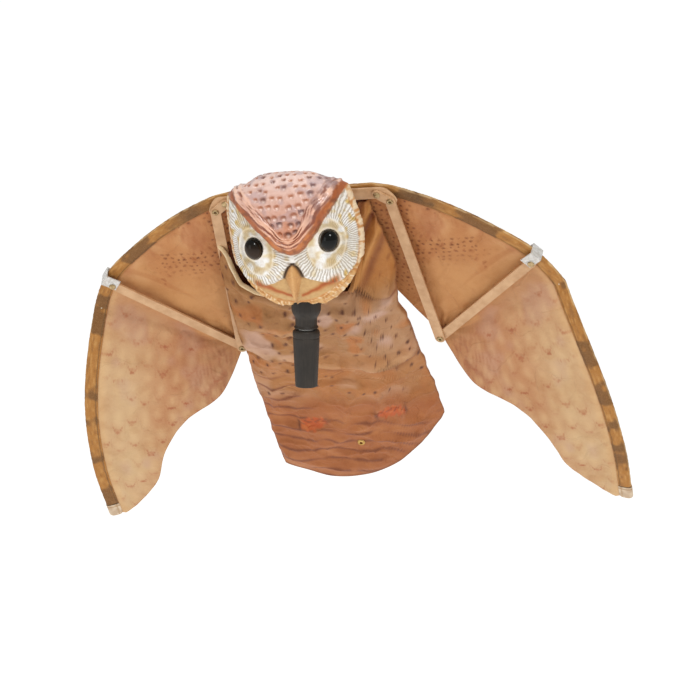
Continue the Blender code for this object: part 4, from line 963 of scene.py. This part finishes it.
for name, side in SIDES.items():
    centre_line = in_cloth(np.stack([side * centre_x, band_top - band_wide / 2 + 0 * centre_x,
                                     -cloth_back + 0 * centre_x], 1))
    line = np.concatenate([centre_line, in_wing(wing_line[:pocket_start], name)])
    face_centre, face_wing = np.array(cloth_turn.col[2]), np.array(wing_turn[name].col[2])
    blend_share = step(np.arange(len(line)), 84, 100)[:, None]
    face = face_centre * (1 - blend_share) + face_wing * blend_share
    ahead = unit(np.gradient(line, axis=0))
    sideways = unit(side * np.cross(face, ahead))
    face = side * np.cross(ahead, sideways)
    run_mm = run_along(line)[:, None]
    spin = np.linspace(0, 2 * pi, round_count, endpoint=False)[None, :]
    pucker = 0.5 * noise(run_mm / 5 + np.cos(spin), np.sin(spin) * 2, 111) + 0.5 * noise(run_mm / 13,
        np.cos(spin) * 1.5, 112)
    fray = 0.35 * noise(run_mm / 2.3, spin * 0 + 1, 113)
    body = tube_of(line, sideways, face, band_wide / 2 + 0.25 + fray[..., None] * 0.6, band_thick / 2, pucker
        * 0.8)
    mesh = grid_mesh(f"{name}_edge_band", body, True)
    paint_mesh(mesh, band_print(run_mm + 0 * spin, spin + 0 * run_mm, 120 + side))
    band = add_piece(mesh, band_look, wall=0.0006)
    bend_at_flap(band)
    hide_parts(f"{name}_edge_sleeve", *(["centre_sleeve"] if side > 0 else []))
    rod_line, rod_side, rod_face = (way[::4, None] for way in (line, sideways, face))
    rod_turn = np.linspace(0, 2 * pi, rod_sides, endpoint=False)[None, :, None]
    rod_points = rod_line + rod_radius * (rod_side * np.cos(rod_turn) + rod_face * np.sin(rod_turn))
    rod_mesh = grid_mesh(f"{name}_edge_rod", rod_points, True)
    with edited(rod_mesh) as bm:
        for first in (0, len(bm.verts) - rod_sides):
            bm.faces.new([bm.verts[first + k] for k in range(rod_sides)])
        bmesh.ops.recalc_face_normals(bm, faces=bm.faces)
    rod = add_piece(rod_mesh, rod_look)
    bend_at_flap(rod)
    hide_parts(f"{name}_wing_spar", *(["centre_spar"] if side > 0 else []))

    tail_end = in_wing(wing_line[pocket_start:], name)
    tip_past = np.linspace(0.5, pocket_past, 6)[:, None]
    extra = tail_end[-1] + tip_past * (tail_end[-1] - tail_end[-2]) / np.linalg.norm(tail_end[-1]
        - tail_end[-2])
    tip_line_3d = np.concatenate([tail_end, extra])
    tip_side = np.concatenate([sideways[-1:]] * len(tip_line_3d))
    tip_face = np.concatenate([face[-1:]] * len(tip_line_3d))
    close = np.sqrt(np.clip(1 - (np.linspace(0, 1, len(tip_line_3d)) ** 7), 0.02, 1))[:, None, None]
    quiet = np.zeros((len(tip_line_3d), round_count))
    tip_mesh = grid_mesh(f"{name}_tip_pocket_cloth",
                         tube_of(tip_line_3d, tip_side, tip_face, (band_wide / 2 + 0.9) * close,
                                 (band_thick / 2 + 0.2) * close, quiet), True)
    tip_run = np.linspace(0, pocket_long + pocket_past, len(tip_line_3d))[:, None] + 0 * spin
    white = base_coat((188, 163, 136), tip_run.shape)
    white = coat(white, (212, 192, 166),
        step(noise(tip_run / 4, np.cos(spin) * 2 + 0 * tip_run, 131), -0.2, 0.6))
    white = coat(white, (150, 112, 74), 0.8 * bell(tip_run - 3.0, 0.7) + 0.6 * bell(np.cos(spin) + 0.6, 0.08))
    paint_mesh(tip_mesh, white)
    with edited(tip_mesh) as bm:
        bm.faces.new([bm.verts[len(bm.verts) - round_count + k] for k in range(round_count)])
    pocket = add_piece(tip_mesh, white_look, f"{name}_wing", wall=0.0006)
    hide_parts(f"{name}_tip_pocket")


def clear_clip(wire):
    place = object_place(wire)
    haze = place.noise(300, 3)
    return {"Base Color": haze.rise(0.3, 0.7).blend(tone(214, 208, 198), tone(244, 242, 238)),
            "Roughness": 0.12 + 0.15 * haze, "Normal": raised(wire, haze, 0.0001)}


clip_look = finish("clear_clip_plastic", {"Transmission Weight": 0.35, "IOR": 1.49}, clear_clip)
refinish(clip_look, "left_wrist_clip", "right_wrist_clip")

# ---------------------------------------------------------------- body bag and tail
# One printed bag hangs from the neck to the rounded hem: the belly bulges in front of a flatter back sheet and the
# two are sewn at the sides and along the hem. Loose folds cross the chest below the neck; the tail sways.

crotch = 148.0
tail_drop = 484.0


def bag_middle(drop):
    return -13.0 + 6.0 * step(drop, 150, 400)


def bag_half(drop):
    return 93 + 9 * step(drop, 10, 90) + 9 * step(drop, 150, 320) + 3 * bell(drop - 86, 22)


def bag_deep(drop):
    upper_part = 54 * (0.12 + 0.88 * (np.clip(drop, 0, crotch) / crotch) ** 1.2)
    share = np.clip((drop - crotch) / (tail_drop - crotch), 0, 1)
    return np.where(drop < crotch, upper_part, 5 + 49 * (1 - share) ** 1.3)


bag_rows, bag_round = 232, 184
spin = np.linspace(0, 2 * pi, bag_round, endpoint=False)[None, :]
go = np.linspace(0, 1, bag_rows)[:, None]
cs, sn = np.cos(spin), np.sin(spin)
front_neck = 114 - 44 * step(-cs, 0.72, 1.0) - 13 * bell(cs + 0.80, 0.22) - 102 * step(cs, 0.44, 0.88)
back_neck = 12 + 58 * step(-cs, 0.25, 0.6)
neck_drop = back_neck + (front_neck - back_neck) * step(sn, -0.05, 0.02) * np.where(cs < 0, 1,
    step(sn, 0.0, 0.3))
hem_across = bag_middle(tail_drop) + bag_half(tail_drop) * cs
hem_drop = tail_drop - 0.0053 * (hem_across + 43) ** 2 + 2.5 * noise(hem_across / 30, hem_across * 0, 148)
drop = neck_drop + (hem_drop - neck_drop) * go
deep_here = bag_deep(drop)
wide_here = bag_half(drop) + 2.2 * noise(drop / 26, cs * 2, 141) + 1.0 * noise(drop / 9, cs * 3, 142)
bx = bag_middle(drop) + wide_here * cs
shape_z = np.sign(sn) * np.abs(sn) ** 0.9
bz = -7.6 + 0.5 * deep_here + 0.5 * deep_here * shape_z
front = step(sn, -0.05, 0.2)
hem_hold = step(go, 1.0, 0.93) * step(np.abs(cs), 1.0, 0.93)
crease_a = 1 - np.abs(noise(bx / 34 + drop / 90, drop / 30, 143)) * 2.4
crease_b = 1 - np.abs(noise(bx / 18 - drop / 50, drop / 20, 144)) * 2.6
crumple = 5.0 * noise(bx / 48, drop / 44, 145) + 4.2 * np.clip(crease_a, 0, 1) + 2.2 * np.clip(crease_b, 0, 1)
elbow_fold = drop - 172 - 0.20 * (bx + 100) - 5 * noise(bx / 30, bx * 0 + 3, 149)
crumple = crumple + 6.5 * step(elbow_fold, 4, -2) * step(elbow_fold, -34, -6) * step(bx, -10, -45)
hip_fold = drop - 250 + 0.30 * (bx - 60) - 5 * noise(bx / 26, bx * 0 + 5, 150)
crumple = crumple + 5.5 * step(hip_fold, 4, -2) * step(hip_fold, -30, -6) * step(bx, 5, 40)
waist_fold = drop - 238 - 0.35 * (bx + 60) - 6 * noise(bx / 30, bx * 0 + 7, 156)
crumple = crumple + 4.5 * step(waist_fold, 3, -2) * step(waist_fold, -40, -6) * step(bx, 20, -20)
fold_line = 122 + 0.16 * (bx - 60) - 8 * noise(bx / 40, bx * 0, 146)
chest_fold = 11 * step(drop - fold_line, 5, -3) * step(drop - fold_line, -60, -8) * step(bx, -30, 30)
sash = (bx - 74) + 0.62 * (drop - 20)
chest_fold = chest_fold + (7 * bell(sash, 6) + 6 * bell(sash - 26, 6) - 4 * bell(sash - 13, 5)) * step(drop,
    118, 95) * step(bx, 20, 40)
left_fold = 5.0 * bell(drop - 118 - 0.35 * (bx + 60), 10) * step(bx, 10, -30)
collar_roll = 4.0 * bell(drop - neck_drop - 9, 9) - 2.5 * bell(drop - neck_drop - 24, 8)
pleats = 0.8 * np.sin(bx / 7.5 + 2 * noise(bx / 20, drop / 30, 147)) * step(drop - neck_drop, 55, 5)
eyelet_flat = 1 - step(np.hypot(bx + 10, drop - 414), 26, 9)
bz = bz + front * hem_hold * eyelet_flat * (crumple * step(drop, 60, 130) + chest_fold + left_fold
    + collar_roll + pleats)
bz = bz + (1 - front) * -0.4 * hem_hold
bag_points = np.stack([bx, -drop, bz], -1)

haze = noise(bx / 26, drop / 24, 151) + 0.5 * noise(bx / 11, drop / 10, 152)
bag_paint = base_coat((170, 122, 76), bx.shape)
# Painted pink sheen below the chest fold, towards the owl's left.
bag_paint = coat(bag_paint, (186, 146, 116), 0.9 * step(drop + 12 * haze - fold_line * (bx > -20), 0, 14)
    * step(bx, -20, 45)
                 * step(drop, 330, 240))
# Painted lilac sheen in patches across the middle of the belly.
lilac_sheen = step(noise(bx / 30 + 5, drop / 26, 166) + 0.5 * haze, 0.0, 0.5)
bag_paint = coat(bag_paint, (204, 172, 168), 0.8 * lilac_sheen * step(drop, 110, 150) * step(drop, 350, 290))
bag_paint = coat(bag_paint, (190, 112, 52), 0.6 * step(haze, -0.1, -0.7) * step(drop, 110, 150)
    * step(drop, 350, 290))
bag_paint = coat(bag_paint, (178, 118, 66), 0.7 * step(drop + 14 * haze, 215, 260)
    * step(drop + 14 * haze, 330, 280))
bag_paint = coat(bag_paint, (168, 100, 52), step(drop + 10 * haze, 290, 345))
bag_paint = coat(bag_paint, (186, 122, 72), 0.6 * step(haze, 0.0, 0.9) * step(drop, 330, 360))
tilt = drop - 0.13 * bx + 3.0 * np.sin(bx / 13) + 4 * noise(bx / 24, drop / 60, 153)
bars = bell((tilt % 21) - 10.5, 2.3) * step(drop, 352, 372) * front
bars_left = bell((tilt % 21) - 10.5, 1.8) * step(drop, 262, 285) * step(bx, -48, -70) * front
bag_paint = coat(bag_paint, (110, 52, 26), 0.8 * np.maximum(bars, bars_left)
    * step(noise(bx / 15, drop / 15, 154), -0.9, 0.0))
spots = spindle(bx * 0.98 + drop * 0.2, drop, 17, 14.5, 2.1, 3.0, 155) * step(noise(bx / 30, drop / 26, 158),
    -0.35, 0.05)
bag_paint = coat(bag_paint, (84, 38, 18), np.clip(1.3 * spots, 0, 1) * front * step(drop, 30, 52)
    * step(drop, 322, 300))
tiny = spindle(bx - drop * 0.15, drop, 8, 9, 1.3, 1.0, 161) * step(drop, 110, 70)
bag_paint = coat(bag_paint, (120, 72, 40), 0.6 * tiny)
for foot_x, foot_drop in ((-62.0, 372.0), (42.0, 352.0)):
    fx, fd = bx - foot_x, drop - foot_drop + 0.25 * (bx - foot_x)
    toes = np.abs(((fx / 9.0 + 0.5) % 1.0) - 0.5)
    foot = step(np.hypot(fx / 20, (fd + 3 * toes * 4) / 11), 1.08, 0.82) * front
    bag_paint = coat(bag_paint, (190, 84, 26), 0.92 * foot)
    bag_paint = coat(bag_paint, (206, 132, 72), 0.5 * foot * step(noise(bx / 4, drop / 4, 163), 0, 0.6))
    claw = bell(np.abs(fx) - 19, 1.6) * bell(fd + 3, 8) + bell(fd + 9.5 - 3 * toes * 4,
        1.1) * (np.abs(fx) < 19) * 0.7
    bag_paint = coat(bag_paint, (84, 40, 20), 0.8 * claw * front)
# Painted shade just below each of the three long folds and a painted highlight just above it.
for crease in (elbow_fold * np.where(bx < -28, 1, 9), hip_fold * np.where(bx > 24, 1, 9), waist_fold
    * np.where(bx < 0, 1, 9)):
    bag_paint = coat(bag_paint, (128, 72, 34), 0.45 * bell(crease - 3, 4) * front)
    bag_paint = coat(bag_paint, (214, 178, 150), 0.40 * bell(crease + 6, 6) * front)
# Painted shade along the lower edge of the chest fold.
bag_paint = coat(bag_paint, (120, 66, 34), 0.7 * bell(drop - fold_line - 2.5, 3.0) * step(bx, 0, 30) * front)
# Where the sash folds cross the chest: an orange ground, painted shade in their troughs and painted highlights on their
# ridges.
sash_zone = step(drop, 122, 100) * step(bx, 15, 35) * front
bag_paint = coat(bag_paint, (184, 122, 60), 0.75 * sash_zone)
bag_paint = coat(bag_paint, (112, 56, 26), 0.75 * sash_zone
    * (bell(sash - 12, 4) + 0.7 * bell(sash - 38, 5) + bell(sash + 9, 4)))
bag_paint = coat(bag_paint, (214, 162, 100), 0.6 * sash_zone * (bell(sash - 4, 3) + bell(sash - 27, 4)))
bag_paint = coat(bag_paint, (140, 86, 48), 0.6 * (1 - step(np.abs(cs), 1.0, 0.985)))
bag_paint = coat(bag_paint, (124, 74, 40), 0.45 * step(go, 0.985, 0.995))
bag_paint = bag_paint * np.array([0.95, 0.915, 0.84])


def bag_print(wire):
    links = printed_cloth(1700.0, 26.0)(wire)
    inside = wire.make("Attribute", {"attribute_name": "inside"}, out=2)
    links["Base Color"] = inside.blend(links["Base Color"], tone(132, 72, 44))
    return links


belly_print = finish("printed_bag_cloth", {"Specular IOR Level": 0.28}, bag_print)
mesh = grid_mesh("body_and_tail", in_cloth(bag_points), True)
paint_mesh(mesh, bag_paint, inside=np.zeros(bx.shape))
outer_count = bag_rows * bag_round
half_round = bag_round // 2
with edited(mesh) as bm:
    last = [bm.verts[(bag_rows - 1) * bag_round + k] for k in range(bag_round)]
    for k in range(half_round):
        mirrored = (bag_round - k - 1) % bag_round, (bag_round - k) % bag_round
        corners = list(dict.fromkeys(last[place] for place in (k, k + 1, *mirrored)))
        if len(corners) > 2:
            bm.faces.new(corners)
    bmesh.ops.recalc_face_normals(bm, faces=bm.faces)
bag = add_piece(mesh, belly_print, outward=False)
lining = bag.modifiers.new("lining", "SOLIDIFY")
lining.thickness, lining.offset = 0.0006, -1.0
set_by_modifiers(bag)
is_inside = np.arange(len(bag.data.vertices)) >= outer_count
bag.data.attributes["inside"].data.foreach_set("value", is_inside.astype(float))
bag.data.shade_smooth()
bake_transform(bag)
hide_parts("body_bag", "tail_fabric")

brass = finish("eyelet_brass", {"Metallic": 1.0}, plated(tone(226, 190, 118), tone(160, 120, 60), 0.22))
refinish(brass, "tail_eyelet", "eyelet_washer")

# ---------------------------------------------------------------- neck binding
# Cream bias tape, folded over the front of the bag's neck edge, from below the chin to the side by the owl's right
# wing. Modelled as the flattened tube that the folded tape makes, with a slightly uneven width.

rim_from, rim_to = round(0.20 * bag_round), half_round
tape_high, tape_thick = 2.6, 1.3
rim_line = in_cloth(bag_points[0, rim_from:rim_to])
rim_ahead = unit(np.gradient(rim_line, axis=0))
rim_up = rim_line - in_cloth(bag_points[4, rim_from:rim_to])
rim_up = unit(rim_up - rim_ahead * (rim_up * rim_ahead).sum(1, keepdims=True))
rim_face = np.cross(rim_ahead, rim_up)
around = np.linspace(0, 2 * pi, 14, endpoint=False)[None, :, None]
rim_wave = 1 + 0.12 * noise(np.arange(len(rim_line)) / 3.0, np.zeros(len(rim_line)), 171)[:, None, None]
rim_points = rim_line[:, None] + rim_up[:, None] * tape_high * np.cos(around) * rim_wave + rim_face[:,
    None] * tape_thick * np.sin(around)
mesh = grid_mesh("neck_binding", rim_points, True)
rim_colour = base_coat((216, 186, 142), rim_points.shape[:2])
rim_grain = noise(np.arange(len(rim_line))[:, None] / 2.0, np.cos(around[..., 0]) * 2, 172)
rim_colour = coat(rim_colour, (236, 214, 178), step(rim_grain, -0.1, 0.6))
paint_mesh(mesh, rim_colour)
binding = add_piece(mesh, white_look, "frame", wall=0.0004)
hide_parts("neck_rim")

# ---------------------------------------------------------------- rivets
# Nickel-plated rivets through the strips: plain domed heads at the inner shoulders, the wrists and the bracket, and
# hollow eyelet heads at the outer shoulders and elbows, where the strips turn. One mesh of heads and one of backs for
# each kind on each body.

rivet_look = finish("rivet_nickel", {"Metallic": 0.8}, plated(tone(206, 182, 140), tone(150, 124, 84), 0.36))


def rivet_tree():
    """Geometry Nodes that set a turned head, back to front, at every point of a mesh."""
    tree = bpy.data.node_groups.new("rivets", "GeometryNodeTree")
    face = tree.interface
    face.new_socket("Geometry", in_out="INPUT", socket_type="NodeSocketGeometry")
    face.new_socket("Rivet", in_out="INPUT", socket_type="NodeSocketObject")
    face.new_socket("Turn", in_out="INPUT", socket_type="NodeSocketRotation")
    face.new_socket("Finish", in_out="INPUT", socket_type="NodeSocketMaterial")
    face.new_socket("Geometry", in_out="OUTPUT", socket_type="NodeSocketGeometry")
    add = tree.nodes.new
    start, stop = add("NodeGroupInput"), add("NodeGroupOutput")
    points, shape = add("GeometryNodeMeshToPoints"), add("GeometryNodeObjectInfo")
    spread = add("GeometryNodeInstanceOnPoints")
    real, clad = add("GeometryNodeRealizeInstances"), add("GeometryNodeSetMaterial")
    for source, out_of, target, into in (
            (start, "Geometry", points, "Mesh"), (start, "Rivet", shape, "Object"),
            (points, "Points", spread, "Points"), (shape, "Geometry", spread, "Instance"),
            (start, "Turn", spread, "Rotation"), (spread, "Instances", real, "Geometry"),
            (real, "Geometry", clad, "Geometry"), (start, "Finish", clad, "Material"),
            (clad, "Geometry", stop, "Geometry")):
        tree.links.new(source.outputs[out_of], target.inputs[into])
    return tree


def spread_mesh(name, spots, tree, look, **inputs):
    """Plain mesh from a tree run on loose points, in metres."""
    mesh = bpy.data.meshes.new(name)
    mesh.from_pydata([tuple(p) for p in spots], [], [])
    holder = placed(name, mesh)
    nodes_of = holder.modifiers.new("spread", "NODES")
    nodes_of.node_group = tree
    inputs["Finish"] = look
    for socket in tree.interface.items_tree:
        if socket.in_out == "INPUT" and socket.name in inputs:
            nodes_of[socket.identifier] = inputs[socket.name]
    set_by_modifiers(holder)
    return holder


domed = [(0, 0.2), (3.2, 0.2), (4.0, 0.0), (4.1, 0.5), (3.6, 1.2), (2.4, 1.75), (1.0, 2.0), (0, 2.05)]
hollow = [(1.5, -4), (1.5, 1.0), (1.9, 1.55), (2.8, 1.75), (3.7, 1.3), (4.1, 0.5), (4.0, 0.0), (2.0, 0.0),
    (2.0, -4)]
rivet_nodes = rivet_tree()
kinds = {"domed": domed, "hollow": hollow}
head_sink = 0.0018
for body, turn_of, places in (
        ("frame", cloth_turn, {"domed": ["left_bar_rivet", "right_bar_rivet"]}),
        ("left_wing", wing_turn["left"], {"domed": ["left_inner_shoulder_rivet", "left_wrist_rivet"],
                                          "hollow": ["left_outer_shoulder_rivet", "left_elbow_rivet"]}),
        ("right_wing", wing_turn["right"], {"domed": ["right_inner_shoulder_rivet", "right_wrist_rivet"],
                                            "hollow": ["right_outer_shoulder_rivet", "right_elbow_rivet"]})):
    for kind, rivets in places.items():
        axis = Vector(turn_of.col[2])
        spots, back_spots = [], []
        for rivet in rivets:
            low, high = (Vector(corner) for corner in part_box(rivet))
            centre = 0.5 * (low + high)
            ends = [(v.co - centre).dot(axis) for v in nodes[rivet].data.vertices]
            spots.append(centre + axis * (max(ends) - head_sink))
            back_spots.append(centre + axis * (min(ends) + head_sink))
        front_shape = placed("rivet_shape", turned_mesh("rivet_shape", kinds[kind], segments=28))
        heads = spread_mesh(f"{body}_{kind}_rivets", spots, rivet_nodes, rivet_look, Rivet=front_shape,
            Turn=turn_of.to_euler())
        flip = (turn_of @ Matrix.Rotation(pi, 3, "X")).to_euler()
        backs = spread_mesh(f"{body}_{kind}_rivet_backs", back_spots, rivet_nodes, rivet_look,
            Rivet=front_shape, Turn=flip)
        bpy.data.objects.remove(front_shape)
        for piece in (heads, backs):
            turn_faces_out(piece.data)
            piece.data.shade_smooth()
            piece.data.set_sharp_from_angle(angle=sharp_edge)
            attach(piece, body)
        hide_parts(*rivets)

# ---------------------------------------------------------------- studio
# White sweep far below the bird, a large soft key from above, a fill and a bright even surround.

floor_low, floor_half = cad_box[0][2] - 0.7, 60
bm = bmesh.new()
bmesh.ops.create_grid(bm, x_segments=1, y_segments=1, size=floor_half)
bm.transform(Matrix.Translation((0, 0, floor_low)))
floor_mesh = bpy.data.meshes.new("studio_floor")
bm.to_mesh(floor_mesh)
bm.free()
floor = placed("studio_floor", floor_mesh)


def floor_white(wire):
    cloud = object_place(wire).noise(2, 2)
    return {"Base Color": cloud.blend(tone(253, 253, 253), tone(255, 255, 255))}


floor_look = finish("studio_white",
    {"Roughness": 0.9, "Emission Color": (1, 1, 1, 1), "Emission Strength": 0.55},
                    floor_white)
floor_mesh.materials.append(floor_look)

world = bpy.data.worlds.new("surround")
world.use_nodes = True
world.node_tree.nodes["Background"].inputs["Color"].default_value = (1, 1, 1, 1)
world.node_tree.nodes["Background"].inputs["Strength"].default_value = 0.5
bpy.context.scene.world = world
bpy.context.scene.view_settings.view_transform = "Standard"


def soft_light(name, place, target, size, power):
    lamp = bpy.data.lights.new(name, "AREA")
    lamp.shape, lamp.size, lamp.energy = "SQUARE", size, power
    made = placed(name, lamp)
    made.location = place
    made.rotation_euler = (Vector(place) - Vector(target)).to_track_quat("Z", "Y").to_euler()


heart = (0, 0, 0.15)
soft_light("key", (0.7, -1.6, 2.0), heart, 0.6, 26)
soft_light("fill", (-2.0, -2.4, 0.7), heart, 1.4, 7)
soft_light("top", (-0.2, 0.5, 2.4), heart, 1.2, 9)

azimuth, elevation, distance = radians(13.3), radians(9.2), 3.0
back = Vector((sin(azimuth) * cos(elevation), -cos(azimuth) * cos(elevation), sin(elevation)))
aim = Vector((-0.00858, 0.02, 0.21546))
camera_data = bpy.data.cameras.new("camera")
camera_data.sensor_width = 36
camera_data.lens = 134.6
camera = placed("camera", camera_data)
camera.location = aim + distance * back
across_view = Vector((cos(azimuth), sin(azimuth), 0))
up_view = back.cross(across_view)
gaze = (distance * back - 0.0539 * across_view + 0.1740 * up_view).normalized()
camera.rotation_euler = gaze.to_track_quat("Z", "Y").to_euler()
bpy.context.scene.camera = camera
